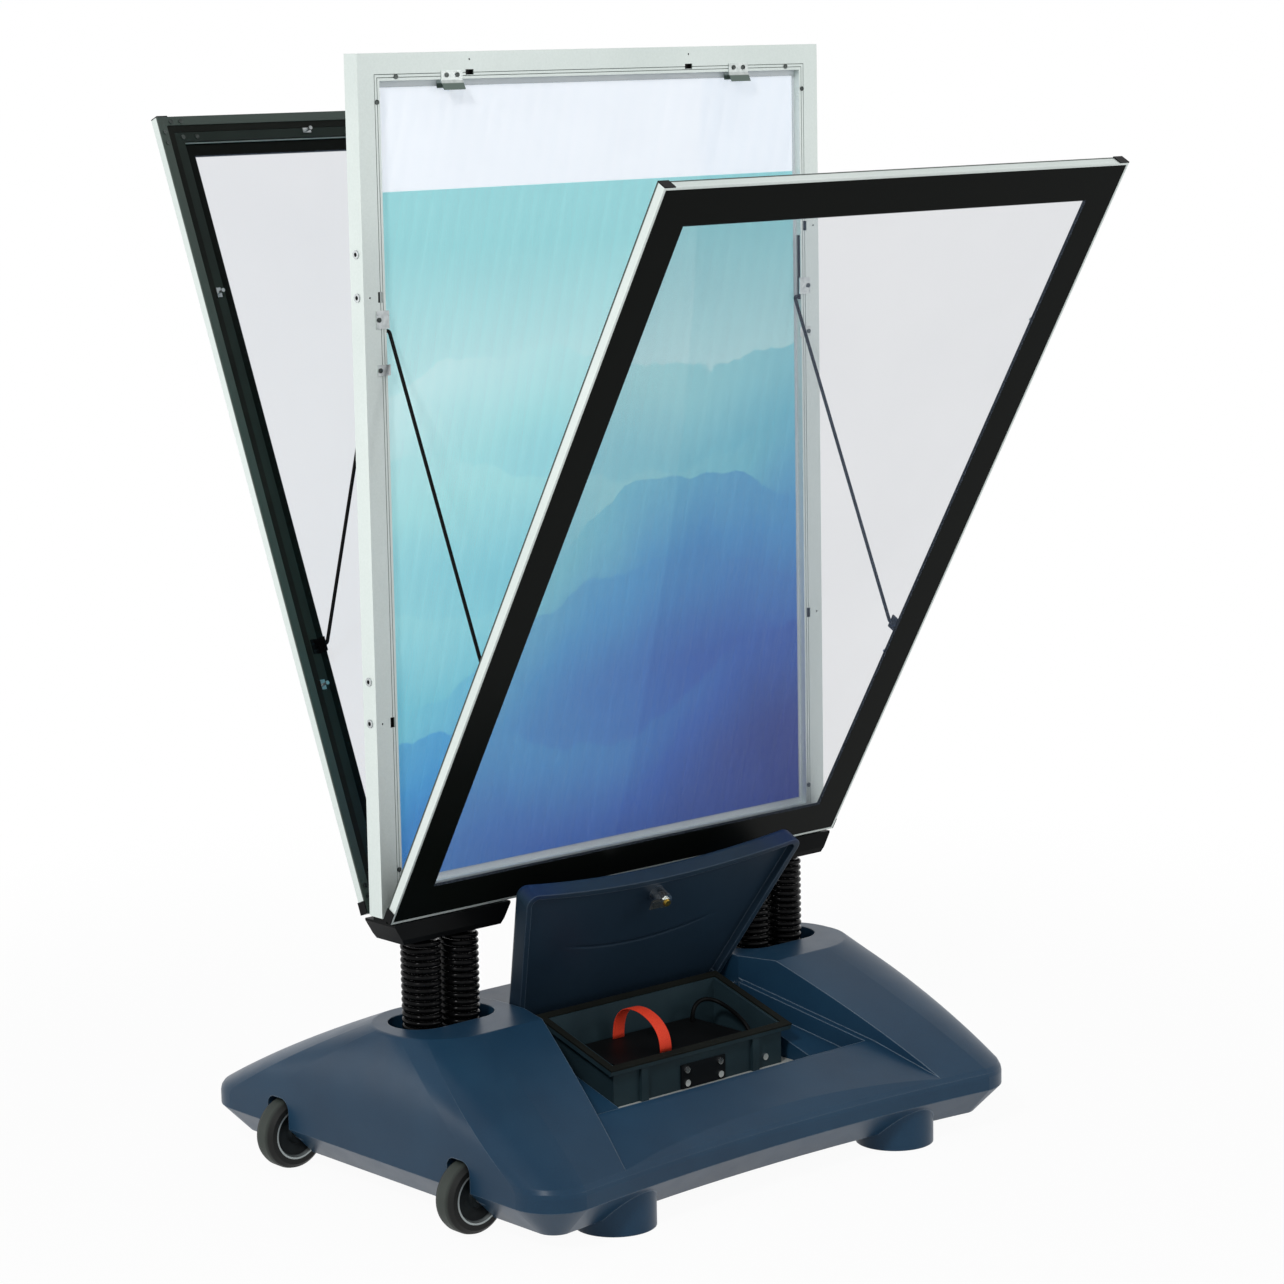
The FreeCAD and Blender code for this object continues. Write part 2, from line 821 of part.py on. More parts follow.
def frame_leaf(side, x):
    y0 = side * half_depth
    y1 = side * (half_depth + n.leaf_thick)
    axis = Vector(x, side * hinge_y, hinge_z)
    left = Vector(n.leaf_width / 2, 0, 0)
    inner = n.knuckle_middle / 2 + n.curve_gap
    whole = block(x - n.leaf_width / 2, x + n.leaf_width / 2, y0, y1, leaf_foot, leaf_head)
    whole = whole.fuse(bar(axis - left, axis + left, n.hinge_pin))
    for way in (-1, 1):
        end = x + way * n.leaf_width / 2
        near = x + way * inner
        whole = whole.fuse(block(near, end, y0, y1, hinge_z, leaf_foot + 1))
        start = Vector(min(near, end), side * hinge_y, hinge_z)
        whole = whole.fuse(bar(start, start + Vector(abs(end - near), 0, 0), n.knuckle_radius))
    return whole.removeSplitter()


def door_leaf(side, x):
    y0 = side * (door_face - n.leaf_thick)
    y1 = side * door_face
    axis = Vector(x, side * hinge_y, hinge_z)
    half = Vector(n.knuckle_middle / 2, 0, 0)
    whole = block(x - n.leaf_width / 2, x + n.leaf_width / 2, y0, y1, leaf_foot, leaf_head)
    whole = whole.fuse(block(x - half.x, x + half.x, y0, y1, hinge_z, leaf_foot + 1))
    whole = whole.fuse(bar(axis - half, axis + half, n.knuckle_radius))
    return whole.cut(bar(axis - half * 2, axis + half * 2, n.hinge_pin + n.pin_gap)).removeSplitter()


frame_leaves = [frame_leaf(side, x) for side in (-1, 1) for x in hinge_spots]
piece("hinge_frame_leaves", formed("HingeFrameLeaves", Part.makeCompound(frame_leaves)))

# Doors
web_in = s.door_thick - s.pane_setback - s.pane_thick - s.web_thick
web_out = web_in + s.web_thick
door_section = [
    (0, 0),
    (s.door_flange, 0),
    (s.door_flange, s.flange_thick),
    (s.door_wall, s.flange_thick),
    (s.door_wall, web_in),
    (s.web_width, web_in),
    (s.web_width, web_out),
    (s.door_lip, web_out),
    (s.door_lip, s.door_thick),
    (0, s.door_thick),
]
door_height = s.frame_height - s.door_drop
bound_bottom = s.frame_bottom + s.door_drop
bound_top = s.frame_bottom + s.frame_height
bound_face = s.frame_depth / 2 + s.door_gap


def door_slab(name, side, inset_x, foot, head, near, far):
    # A block of a closed door between two distances from its inner face.
    a = toward(side, bound_face + near)
    b = toward(side, bound_face + far)
    half = s.frame_width / 2 - inset_x
    return box(name, (-half, a if side > 0 else b, foot), (half, b if side > 0 else a, head))


def build_door(side):
    name = names[side]
    title = name.title() + "Door"
    spin = Rotation(Vector(1, 0, 0), -side * angles[side])
    place = Placement(Vector(), spin, Vector(0, side * hinge_y, hinge_z))
    inward = Vector(0, -side, 0)
    section = [[(toward(side, bound_face + w), u) for u, w in door_section]]
    bars = four_sides(title, section, s.frame_width, door_height, s.web_width, bound_bottom)

    retainer_foot = float(web_in) - n.retainer_thick
    retainer_start = n.door_flange + n.seal_width + 4 * n.slide_gap
    retainer_end = retainer_start + n.retainer_width
    retainer_mid = (retainer_start + retainer_end) / 2
    seats = []
    for x in (-1, 1):
        for z, up in ((door_bottom, 1), (frame_top, -1)):
            for across, along, depth in (
                (16.7, 6, 0), (29.8, 6, 0), (6, 18, 0), (6, 30, 0),
                (28.8, retainer_mid, retainer_foot), (47.4, retainer_mid, retainer_foot),
            ):
                y = side * (door_face + depth)
                seats.append(Vector(x * (half_width - across), y, z + up * along))
    holes = formed(title + "Holes", Part.makeCompound([small_hole(at, inward) for at in seats]))
    rails = cut(title + "Rails", group(title + "Bars", bars), [holes])
    piece(name + "_door_rails", rails, place)

    pane_inset = s.door_lip + 2 * s.slide_gap
    pane = door_slab(
        title + "PaneSheet", side, pane_inset, bound_bottom + pane_inset, bound_top - pane_inset,
        web_out, web_out + s.pane_thick,
    )
    piece(name + "_door_pane", group(title + "Pane", [pane]), place)

    seal_start = s.door_flange + s.slide_gap
    seal_end = seal_start + s.seal_width
    outer = door_slab(
        title + "SealOuter", side, seal_start, bound_bottom + seal_start, bound_top - seal_start,
        web_in - s.seal_thick, web_in,
    )
    inner = door_slab(
        title + "SealInner", side, seal_end, bound_bottom + seal_end, bound_top - seal_end,
        web_in - s.seal_thick - 1, web_in + 1,
    )
    piece(name + "_door_seal", cut(title + "Seal", outer, [inner]), place)

    start = s.door_flange + s.seal_width + 4 * s.slide_gap
    end = start + s.retainer_width
    deep = web_in - s.retainer_thick
    strips = [
        door_slab(title + "StripLow", side, start, bound_bottom + start, bound_bottom + end, deep, web_in),
        door_slab(title + "StripHigh", side, start, bound_top - end, bound_top - start, deep, web_in),
    ]
    near = toward(side, bound_face + deep)
    far = toward(side, bound_face + web_in)
    y0, y1 = (near, far) if side > 0 else (far, near)
    for label, x0, x1 in (
        ("StripLeft", start - s.frame_width / 2, end - s.frame_width / 2),
        ("StripRight", s.frame_width / 2 - end, s.frame_width / 2 - start),
    ):
        foot = bound_bottom + end + s.slide_gap
        strips.append(box(title + label, (x0, y0, foot), (x1, y1, bound_top - end - s.slide_gap)))
    retainers = cut(title + "Retainers", group(title + "Strips", strips), [holes])
    piece(name + "_door_retainers", retainers, place)

    caps = []
    outside = side * (door_face + n.door_thick)
    for x in (-1, 1):
        edge = x * half_width
        caps.append(block(
            edge, edge - x * n.cap_long, side * door_face, outside, frame_top, frame_top + n.cap_thick
        ))
        caps.append(block(
            edge, edge + x * n.cap_thick, side * door_face, outside, door_bottom, door_bottom + n.cap_long
        ))
    piece(name + "_door_caps", formed(title + "Caps", Part.makeCompound(caps)), place)

    hooks = []
    seat = door_face + retainer_foot
    tip = half_depth - n.catch_reach
    for x, z, along in catches(side):
        half_x = n.slot_long / 2 if along == "x" else n.catch_pin * 1.8
        half_z = n.catch_pin * 1.8 if along == "x" else n.slot_long / 2
        plate = block(x - half_x, x + half_x, side * seat, side * (seat - 1), z - half_z, z + half_z)
        pin = bar(Vector(x, side * seat, z), Vector(x, side * tip, z), n.catch_pin)
        head = bar(Vector(x, side * tip, z), Vector(x, side * (tip + 1.6), z), n.catch_hook)
        hooks.append(plate.fuse(pin).fuse(head).removeSplitter())
    piece(name + "_door_catches", formed(title + "Catches", Part.makeCompound(hooks)), place)

    leaves = [door_leaf(side, x) for x in hinge_spots]
    piece(name + "_door_hinge_leaves", formed(title + "Leaves", Part.makeCompound(leaves)), place)

    brackets = []
    pivot = stay_foot(side, 0)
    ear_start = stay_x + n.stay_wire + 1
    for x in (-1, 1):
        z0 = pivot.z - n.bracket_high / 2
        z1 = pivot.z + n.bracket_high / 2
        foot = block(
            x * ear_start, x * (opening_half + n.rail_width * 0.3),
            side * seat, side * (seat - 1.2), z0, z1,
        )
        tip = n.stay_line - n.stay_wire - 1
        ear = block(x * ear_start, x * (ear_start + n.bracket_ear), side * seat, side * tip, z0, z1)
        start = Vector(x * stay_x, pivot.y, pivot.z)
        bore = bar(start, start + Vector(x * 20, 0, 0), n.stay_wire + n.pin_gap)
        brackets.append(foot.fuse(ear).cut(bore).removeSplitter())
    piece(name + "_stay_brackets", formed(title + "Brackets", Part.makeCompound(brackets)), place)

    screws = [small_screw(at, inward) for at in seats]
    piece(name + "_door_screws", formed(title + "Screws", Part.makeCompound(screws)), place)


def build_stays(side):
    # Two bent wires, in place for the open door.
    foot = stay_foot(side, angles[side])
    head = stay_head(side, angles[side])
    wires = []
    for x in (-1, 1):
        across = Vector(x * stay_x, 0, 0)
        out = Vector(x, 0, 0)
        points = [
            foot + across + out * n.stay_lower_leg,
            foot + across,
            head + across,
            head + across + out * n.stay_upper_leg,
        ]
        wires.append(bent_wire(points, n.stay_bend, n.stay_wire))
    name = names[side]
    piece(name + "_stays", formed(name.title() + "Stays", Part.makeCompound(wires)))


for side in (-1, 1):
    build_door(side)
    build_stays(side)

# Saddles: open-bottomed blocks that carry the frame on the springs
saddle_foot = n.frame_bottom - n.saddle_height


def build_saddle(name, x):
    half_top = s.saddle_top_length / 2
    half_foot = s.saddle_foot_length / 2
    bevel = s.saddle_height - s.saddle_shoulder * 1.4
    side_view = [
        (-half_foot, 0),
        (half_foot, 0),
        (half_top, bevel),
        (half_top, s.saddle_height),
        (-half_top, s.saddle_height),
        (-half_top, bevel),
    ]
    half = s.saddle_width / 2
    shoulder = s.saddle_height - s.saddle_shoulder
    end_view = [
        (-s.saddle_foot_width / 2, 0),
        (s.saddle_foot_width / 2, 0),
        (half, s.saddle_shoulder),
        (half, shoulder),
        (face, shoulder),
        (face, s.saddle_height),
        (-face, s.saddle_height),
        (-face, shoulder),
        (-half, shoulder),
        (-half, s.saddle_shoulder),
    ]
    long = prism(name + "Side", "XZ_Plane", [side_view], -half, s.saddle_width)
    wide = prism(name + "End", "YZ_Plane", [end_view], -half_top, s.saddle_top_length)
    radius = s.spring_outer + s.well_clear
    step = s.spring_step / 2
    hole = s.bolt_shank + s.slide_gap
    tools = [
        box(name + "PocketMiddle", (-step, -radius, -1), (step, radius, s.saddle_pocket)),
        cylinder(name + "PocketLeft", radius, (-step, 0, -1), s.saddle_pocket + 1, "z"),
        cylinder(name + "PocketRight", radius, (step, 0, -1), s.saddle_pocket + 1, "z"),
    ]
    for label, at in (("BoltLeft", -s.saddle_bolt_x), ("BoltRight", s.saddle_bolt_x)):
        sink = s.bolt_head_high + 1
        tools.append(cylinder(name + label, hole, (at, 0, -1), s.saddle_height + 2, "z"))
        tools.append(cylinder(name + label + "Sink", s.bolt_head + s.curve_gap, (at, 0, -1), sink + 1, "z"))
    item = cut(name, common(name + "Block", long, wide), tools)
    item.Placement = Placement(Vector(x, 0, saddle_foot), Rotation())
    return item


piece("saddles", group("Saddles", [
    build_saddle("LeftSaddle", -n.saddle_x), build_saddle("RightSaddle", n.saddle_x)
]))
up = Vector(0, 0, 1)
saddle_bolts = []
for x in bolt_spots:
    seat = Vector(x, 0, saddle_foot + n.bolt_head_high + 1)
    rise = n.frame_bottom + n.rail_wall - seat.z
    saddle_bolts.append(screw(seat, -up, n.bolt_head, n.bolt_head_high, n.bolt_shank, rise))
piece("saddle_bolts", formed("SaddleBolts", Part.makeCompound(saddle_bolts)))

# Springs: close coils whose ends turn to stand square on the anchor and on the saddle roof
spring_foot = n.well_floor + n.anchor_thick
spring_head = saddle_foot + n.saddle_pocket
coil_radius = n.spring_outer - n.spring_wire / 2


def coil_path():
    # Edges of one spring about Z: leg, bend, coil of half-turn biarcs, bend, leg.
    climb = 0
    for _ in range(30):
        lean = math.atan2(climb, 2 * math.pi * coil_radius)
        reach = n.spring_bend * math.tan((math.pi / 2 - lean) / 2)
        end_rise = n.spring_wire + reach * (1 + math.sin(lean))
        climb = (spring_head - spring_foot - 2 * end_rise) / n.spring_turns
    halves = round(n.spring_turns * 2)
    rise = climb / (2 * math.pi)
    points = []
    slopes = []
    for k in range(halves + 1):
        turn = -math.pi / 2 + math.pi * k
        height = spring_foot + end_rise + climb * k / 2
        points.append(Vector(coil_radius * math.cos(turn), coil_radius * math.sin(turn), height))
        slope = Vector(-coil_radius * math.sin(turn), coil_radius * math.cos(turn), rise)
        slopes.append(slope.normalize())
    edges = []
    first = points[0] - slopes[0] * reach
    leg = first - up * reach
    foot = Vector(leg.x, leg.y, spring_foot)
    edges.append(Part.makeLine(foot, leg))
    edges.append(corner_arc(leg, first, points[0]))
    for a, b, ta, tb in zip(points, points[1:], slopes, slopes[1:]):
        edges += biarc(a, b, ta, tb)
    last = points[-1] + slopes[-1] * reach
    leg = last + up * reach
    edges.append(corner_arc(points[-1], last, leg))
    edges.append(Part.makeLine(leg, Vector(leg.x, leg.y, spring_head)))
    return edges, foot, climb


def corner_arc(start, corner, end):
    # The arc that touches both sides of a corner at equal distances from it.
    come = (corner - start).normalize()
    go = (end - corner).normalize()
    half = come.getAngle(go) / 2
    radius = (corner - start).Length / math.tan(half)
    middle = corner + (go - come).normalize() * (radius / math.cos(half) - radius)
    return Part.Arc(start, middle, end).toShape()


def biarc(a, b, ta, tb):
    # Two arcs that join a to b and keep the directions ta and tb.
    v = b - a
    t = ta + tb
    square = 2 * (1 - ta.dot(tb))
    linear = 2 * v.dot(t)
    d = (-linear + math.sqrt(linear ** 2 + 4 * square * v.dot(v))) / (2 * square)
    joint = (a + ta * d + b - tb * d) * 0.5
    return [tangent_arc(a, joint, ta, 1), tangent_arc(joint, b, tb, -1)]


def tangent_arc(a, b, direction, way):
    # The arc from a to b that leaves a along direction, or arrives at b along it for way -1.
    chord = b - a
    along = chord.normalize()
    long = (b - a).Length
    square = direction - along * direction.dot(along)
    angle = along.getAngle(direction)
    middle = (a + b) * 0.5 + square.normalize() * (way * long / 2 * math.tan(angle / 2))
    return Part.Arc(a, middle, b).toShape()


spring_edges, spring_start, spring_climb = coil_path()
coil = swept(spring_edges, spring_start, up, n.spring_wire / 2)
print("spring coil gap %.3f mm" % (spring_climb - n.spring_wire))
springs = []
for x in (-n.saddle_x, n.saddle_x):
    for way, turn in ((-1, 180), (1, 0)):
        one = coil.copy()
        one.Placement = Placement(Vector(x + way * n.spring_step / 2, 0, 0), Rotation(up, turn))
        springs.append(one)
piece("springs", formed("Springs", Part.makeCompound(springs)))


def oval(x, radius, spread, low, high):
    # An upright solid with round ends, about a point on the X axis.
    left = Part.makeCylinder(radius, high - low, Vector(x - spread, 0, low))
    right = Part.makeCylinder(radius, high - low, Vector(x + spread, 0, low))
    return block(x - spread, x + spread, -radius, radius, low, high).fuse(left).fuse(right).removeSplitter()


anchors = []
anchor_bolts = []
anchor_seats = []
for x in (-n.saddle_x, n.saddle_x):
    plate = oval(x, n.well_radius - n.curve_gap, n.well_spread, n.well_floor, spring_foot)
    for step in (-n.anchor_bolt_x, n.anchor_bolt_x):
        seat = Vector(x + step, 0, spring_foot)
        anchor_seats.append(seat)
        plate = plate.cut(bar(seat + up, seat - up * 20, n.bolt_shank + n.slide_gap))
        anchor_bolts.append(screw(seat, up, n.bolt_head, n.bolt_head_high, n.bolt_shank, n.anchor_thick + 10))
    anchors.append(plate)
piece("spring_anchors", formed("SpringAnchors", Part.makeCompound(anchors)))
piece("anchor_bolts", formed("AnchorBolts", Part.makeCompound(anchor_bolts)))

# Base tank
slope = math.radians(n.lid_slope)
lid_axis = Vector(0, -n.lid_pivot_y, n.lid_pivot_z)


def above_pivot(y, height):
    # Height of the plane that runs parallel to the closed lid, a distance above its pivot.
    return lid_axis.z + (height + math.sin(slope) * (y - lid_axis.y)) / math.cos(slope)


def corner_points(u, v, radius, hip, end):
    # Points on a quarter circle about (u, v): the hip, then both ways from it to the straight edges.
    def at(degrees):
        turn = math.radians(degrees)
        return (u + radius * math.cos(turn), v + radius * math.sin(turn))

    return {
        "hip": at(hip), "to_front": at((hip + 90) / 2), "front": at(90),
        "to_end": at((hip + end) / 2), "end": at(end),
    }


def ring(quarter, shift):
    # Twelve arcs of a closed outline, each by three points, from a quarter and its mirror images.
    def at(name, x, y):
        u, v = quarter[name]
        return (x * u, shift + y * v)

    arcs = []
    corners = ((-1, -1), (1, -1), (1, 1), (-1, 1))
    for (x0, y0), (x1, y1), edge in zip(corners, corners[1:] + corners[:1], ("front", "end") * 2):
        first = at(edge, x0, y0)
        last = at(edge, x1, y1)
        arcs.append((at("hip", x0, y0), at("to_" + edge, x0, y0), first))
        arcs.append((first, at(edge + "_middle", (x0 + x1) / 2, (y0 + y1) / 2), last))
        arcs.append((last, at("to_" + edge, x1, y1), at("hip", x1, y1)))
    return arcs


def base_ring(inset):
    # Outline of the base: round corners, bowed front and rear edges, hips down to the ends of its sides.
    x = n.base_length / 2 - inset
    y = n.base_width / 2 - inset
    radius = n.corner_radius - inset
    quarter = corner_points(x - radius, y - radius, radius, 0, 0)
    quarter["to_end"] = (x, y - radius - n.hip_run / 2)
    quarter["end"] = (x, y - radius - n.hip_run)
    quarter["front_middle"] = (0, y - n.edge_bow)
    quarter["end_middle"] = (x, 0)
    return ring(quarter, 0)


def deck_ring(inset):
    # Outline of the deck: a round pad about each well, joined by straight edges.
    radius = (n.pad_front + n.pad_rear) / 2 - inset
    quarter = corner_points(n.pad_x, 0, radius, n.hip_angle, n.end_angle)
    quarter["front_middle"] = (0, radius)
    quarter["end_middle"] = (n.pad_x + radius, 0)
    return ring(quarter, (n.pad_rear - n.pad_front) / 2)


def ring_wire(low, high, rise, z):
    # The outline at a share of the way from one ring to another; the ends swell more than the slopes.
    swell = 4 * rise * (1 - rise)
    end = rise - n.end_swell * swell
    slope = rise - n.slope_swell * swell
    hip = (end, rise - n.hip_swell * swell)
    edges = []
    for k, (a, b) in enumerate(zip(low, high)):
        flat = (end if k // 3 % 2 else slope, slope)
        near = tuple((h + 2 * f) / 3 for h, f in zip(hip, flat))
        shares = ((hip, near, flat), (flat, flat, flat), (flat, near, hip))[k % 3]
        p, q, r = (
            Vector(u[0] + (v[0] - u[0]) * share[0], u[1] + (v[1] - u[1]) * share[1], z)
            for u, v, share in zip(a, b, shares)
        )
        straight = (q - p).cross(r - q).Length < 1e-6 * (r - p).Length ** 2
        edges.append(Part.makeLine(p, r) if straight else Part.Arc(p, q, r).toShape())
    return Part.Wire(edges)


def tank(inset):
    # The outer form of the base, or the form of its hollow for an inset.
    low = n.band_bottom
    band = n.band_top - inset * 1.2
    rise = n.deck_height - n.band_top
    base = base_ring(inset)
    deck = deck_ring(inset)
    skirt = base_ring(inset + n.skirt_inset)
    rows = [ring_wire(skirt, skirt, 0, n.skirt_bottom + inset), ring_wire(base, base, 0, low)]
    rows.append(ring_wire(base, base, 0, band - n.band_round))
    rows.append(ring_wire(base, deck, n.band_share / 4, band - n.band_round / 4))
    shares = [n.band_share + (1 - n.band_share) * k / 4 for k in range(5)]
    slopes = [ring_wire(base, deck, share, band + rise * share) for share in shares]
    form = Part.makeLoft(rows + slopes[:1], True, True)
    return form.fuse(Part.makeLoft(slopes, True, False)).removeSplitter()


bay_slope = (n.bay_front_half - n.bay_rear_half) / (n.bay_front - n.bay_knee)


def bay_half(y):
    return n.bay_rear_half + bay_slope * max(0, -n.bay_knee - y)


def bay_plan(inset, rear, front, low):
    # Tapered plan of the bay between two distances, as an upright solid.
    points = []
    knee = -n.bay_knee
    for y in (rear, knee, front) if rear > knee else (rear, front):
        points.append(Vector(bay_half(y) - inset, y, low))
    points += [Vector(-p.x, p.y, p.z) for p in reversed(points)]
    return extruded(points, Vector(0, 0, 300))


def bay_pockets(grow):
    # Everything cut down into the bay: seat and apron, ledge pit, box pit and hinge pocket.
    seat = n.lid_inner - n.lid_rim - n.seat_gap
    crease = -n.seat_crease
    crease_z = above_pivot(crease, seat)
    fall = (crease_z - n.band_top) / (n.bay_front - n.seat_crease)
    front = -n.base_width / 2 - 20
    side = [
        (n.bay_rear + grow, 260),
        (n.bay_rear + grow, above_pivot(n.bay_rear, seat) - grow * 1.1),
        (crease, crease_z - grow * 1.1),
        (front, crease_z - fall * (crease - front) - grow * 1.1),
        (front, 260),
    ]
    reach = Vector(n.base_length, 0, 0)
    wedge = extruded([Vector(0, y, z) - reach * 0.5 for y, z in side], reach)
    bay = wedge.common(bay_plan(-grow, n.bay_rear + grow, front, 0))
    step = seat - n.seat_step
    pit_rear = -n.lid_pivot_y
    pit_front = -n.pit_front - grow
    ledge_side = [
        (pit_rear, 260),
        (pit_rear, above_pivot(pit_rear, step) - grow * 1.1),
        (pit_front, above_pivot(pit_front, step) - grow * 1.1),
        (pit_front, 260),
    ]
    ledge = extruded([Vector(0, y, z) - reach * 0.5 for y, z in ledge_side], reach)
    ledge = ledge.common(bay_plan(n.pit_ledge - grow, pit_rear, pit_front, 0))
    half = n.pit_half + grow
    pit = block(-half, half, n.bay_rear + grow, pit_front, n.pit_floor - grow, 260)
    hinge = n.bay_rear_half + grow
    hinge_floor = lid_axis.z - n.ear_radius - 3 - grow
    pocket = block(-hinge, hinge, n.bay_rear + grow, -n.lid_pivot_y - 20 - grow, hinge_floor, 260)
    dip = n.dip_half + grow
    dip_top = dip + n.dip_flare
    dip_floor = n.dip_floor - grow * 1.1
    dip_rise = n.deck_height - n.dip_floor
    half_view = [(dip, dip_floor), (dip_top, dip_floor + dip_rise), (dip_top, 260)]
    valley_view = half_view + [(-x, z) for x, z in reversed(half_view)]
    rear = Vector(0, n.base_width / 2 - n.bay_rear, 0)
    valley = extruded([Vector(x, n.bay_rear, z) for x, z in valley_view], rear)
    return bay.fuse(ledge).fuse(pit).fuse(pocket).fuse(valley)


wheel_z = n.wheel_radius + n.wheel_lift
wall = n.base_wall
arch_half = n.wheel_width / 2 + n.arch_gap
pockets = bay_pockets(0)
guards = bay_pockets(wall)
for x in (-n.saddle_x, n.saddle_x):
    pockets = pockets.fuse(oval(x, n.well_radius, n.well_spread, n.well_floor, 260))
    guards = guards.fuse(oval(x, n.well_radius + wall, n.well_spread, n.well_floor - wall, 260))
for y in (-n.wheel_y, n.wheel_y):
    start = Vector(-n.wheel_x, y - arch_half, wheel_z)
    across = Vector(0, 2 * arch_half, 0)
    lip = Vector(0, wall, 0)
    arch = bar(start, start + across, n.wheel_radius + n.arch_gap)
    rims = [e for e in arch.Edges if e.BoundBox.YLength < 0.01]
    pockets = pockets.fuse(arch.makeFillet(n.arch_round, rims))
    guards = guards.fuse(bar(start - lip, start + across + lip, n.wheel_radius + n.arch_gap + wall))
filler = Vector(0, n.filler_y, n.filler_floor)
filler_well = n.filler_radius + n.arch_gap
pockets = pockets.fuse(bar(filler, filler + up * 150, filler_well))
guards = guards.fuse(bar(filler - up * wall, filler + up * 150, filler_well + wall))

hull = tank(0)
hull = hull.makeFillet(n.deck_round, [e for e in hull.Edges if e.BoundBox.ZMin > n.deck_height - 0.01])
for x in (-n.foot_x, n.foot_x):
    for y in (-n.foot_y, n.foot_y):
        hull = hull.fuse(Part.makeCylinder(n.foot_radius, n.band_bottom, Vector(x, y, 0)))
hollow = tank(wall).cut(guards)
for seat in anchor_seats:
    hollow = hollow.cut(bar(seat, seat - up * 30, n.bolt_head * 2))
shell = hull.cut(pockets).cut(hollow)
for seat in anchor_seats:
    shell = shell.cut(bar(seat + up, seat - up * (n.anchor_thick + 11), n.bolt_shank + n.slide_gap))
for y in (-n.wheel_y, n.wheel_y):
    start = Vector(-n.wheel_x, y - n.axle_long / 2, wheel_z)
    shell = shell.cut(bar(start, start + Vector(0, n.axle_long, 0), n.axle_radius + n.pin_gap))
pin_start = n.lid_rear_half - n.ear_thick - n.curve_gap
for x in (-1, 1):
    start = lid_axis + Vector(x * pin_start, 0, 0)
    shell = shell.cut(bar(start, start + Vector(x * n.lid_pin_long, 0, 0), n.lid_pin + n.pin_gap))
shell = shell.cut(bar(filler + up, filler - up * (wall + 1), n.filler_neck + n.curve_gap))
piece("base_shell", formed("BaseShell", shell.removeSplitter()))

cap = bar(filler, filler + up * n.filler_high, n.filler_radius)
cap = cap.fuse(bar(filler, filler - up * (wall + 4), n.filler_neck))
grip = block(-n.filler_radius, n.filler_radius, n.filler_y - 4, n.filler_y + 4, filler.z + 4, filler.z + 30)
cap = cap.cut(bar(filler + up * (n.filler_high - 4), filler + up * 40, n.filler_neck))
cap = cap.fuse(grip.common(bar(filler, filler + up * n.filler_high, n.filler_radius)))
piece("filler_cap", formed("FillerCap", cap.removeSplitter()))

# Wheels in the arches of the left end
for side in (-1, 1):
    name = names[side]
    place = Placement(Vector(-n.wheel_x, side * n.wheel_y, wheel_z), Rotation())
    half = s.wheel_width / 2
    tread = s.wheel_radius
    bevel = s.tyre_round
    tyre = wheel_form(name.title() + "Tyre", [
        (s.rim_radius + s.slide_gap, -half),
        (tread - bevel * 0.7, -half),
        (tread - bevel * 0.15, bevel * 0.5 - half),
        (tread, bevel - half),
        (tread, half - bevel),
        (tread - bevel * 0.15, half - bevel * 0.5),
        (tread - bevel * 0.7, half),
        (s.rim_radius + s.slide_gap, half),
    ])
    piece(name + "_wheel_tyre", tyre, place)
    dish = half - bevel / 2
    hub = wheel_form(name.title() + "Hub", [
        (s.axle_radius + s.pin_gap, -half),
        (s.axle_radius * 2, -half),
        (s.axle_radius * 2.4, -dish),
        (s.rim_radius - bevel / 2, -dish),
        (s.rim_radius - bevel / 4, -half),
        (s.rim_radius, -half),
        (s.rim_radius, half),
        (s.rim_radius - bevel / 4, half),
        (s.rim_radius - bevel / 2, dish),
        (s.axle_radius * 2.4, dish),
        (s.axle_radius * 2, half),
        (s.axle_radius + s.pin_gap, half),
    ])
    piece(name + "_wheel_hub", hub, place)
piece("wheel_axles", group("WheelAxles", [
    cylinder(
        names[side].title() + "Axle", s.axle_radius,
        (-s.wheel_x, toward(side, s.wheel_y) - s.axle_long / 2, s.wheel_radius + s.wheel_lift),
        s.axle_long, "y",
    )
    for side in (-1, 1)
]))

# Battery box with its tray, seal, catch plate and screws
tray_top = n.pit_floor + n.tray_thick
piece("box_tray", group("BoxTray", [box(
    "TraySheet",
    (s.tray_margin - s.pit_half, s.tray_margin - s.pit_front, s.pit_floor),
    (s.pit_half - s.tray_margin, s.bay_rear - s.tray_margin, s.pit_floor + s.tray_thick),
)]))
tilt = Rotation(Vector(1, 0, 0), n.lid_slope)
rim_place = Placement(Vector(0, -n.rim_rear_y, n.rim_rear_z), tilt)


def tilted(shape):
    # Lays a shape drawn flat on the sloping rim plane: its length runs along -Y.
    shape.Placement = rim_place.multiply(shape.Placement)
    return shape


walls = block(-n.box_half, n.box_half, -n.box_front, -n.box_rear, tray_top, 200)
for x in (-n.rib_x, n.rib_x):
    rib_front = -n.box_front - n.rib_proud
    walls = walls.fuse(block(
        x - n.rib_width / 2, x + n.rib_width / 2, rib_front, -n.box_front, tray_top, 200
    ))
walls = walls.cut(tilted(block(-300, 300, -400, 200, 0, 300)))
flange = tilted(block(-n.rim_half, n.rim_half, -n.rim_length, 0, -n.rim_thick, 0))
inside = n.box_half - n.box_wall
hollow = block(
    -inside, inside, -n.box_front + n.box_wall, -n.box_rear - n.box_wall, tray_top + n.box_floor, 300
)
gland_at = Vector(inside, -118, tray_top + n.box_floor + 14)
out_x = Vector(1, 0, 0)
case = walls.fuse(flange).cut(hollow)
case = case.cut(bar(gland_at - out_x * 5, gland_at + out_x * 10, n.cable_radius * 2))
plate_left = n.catch_plate_x - n.catch_plate_half
plate_right = n.catch_plate_x + n.catch_plate_half
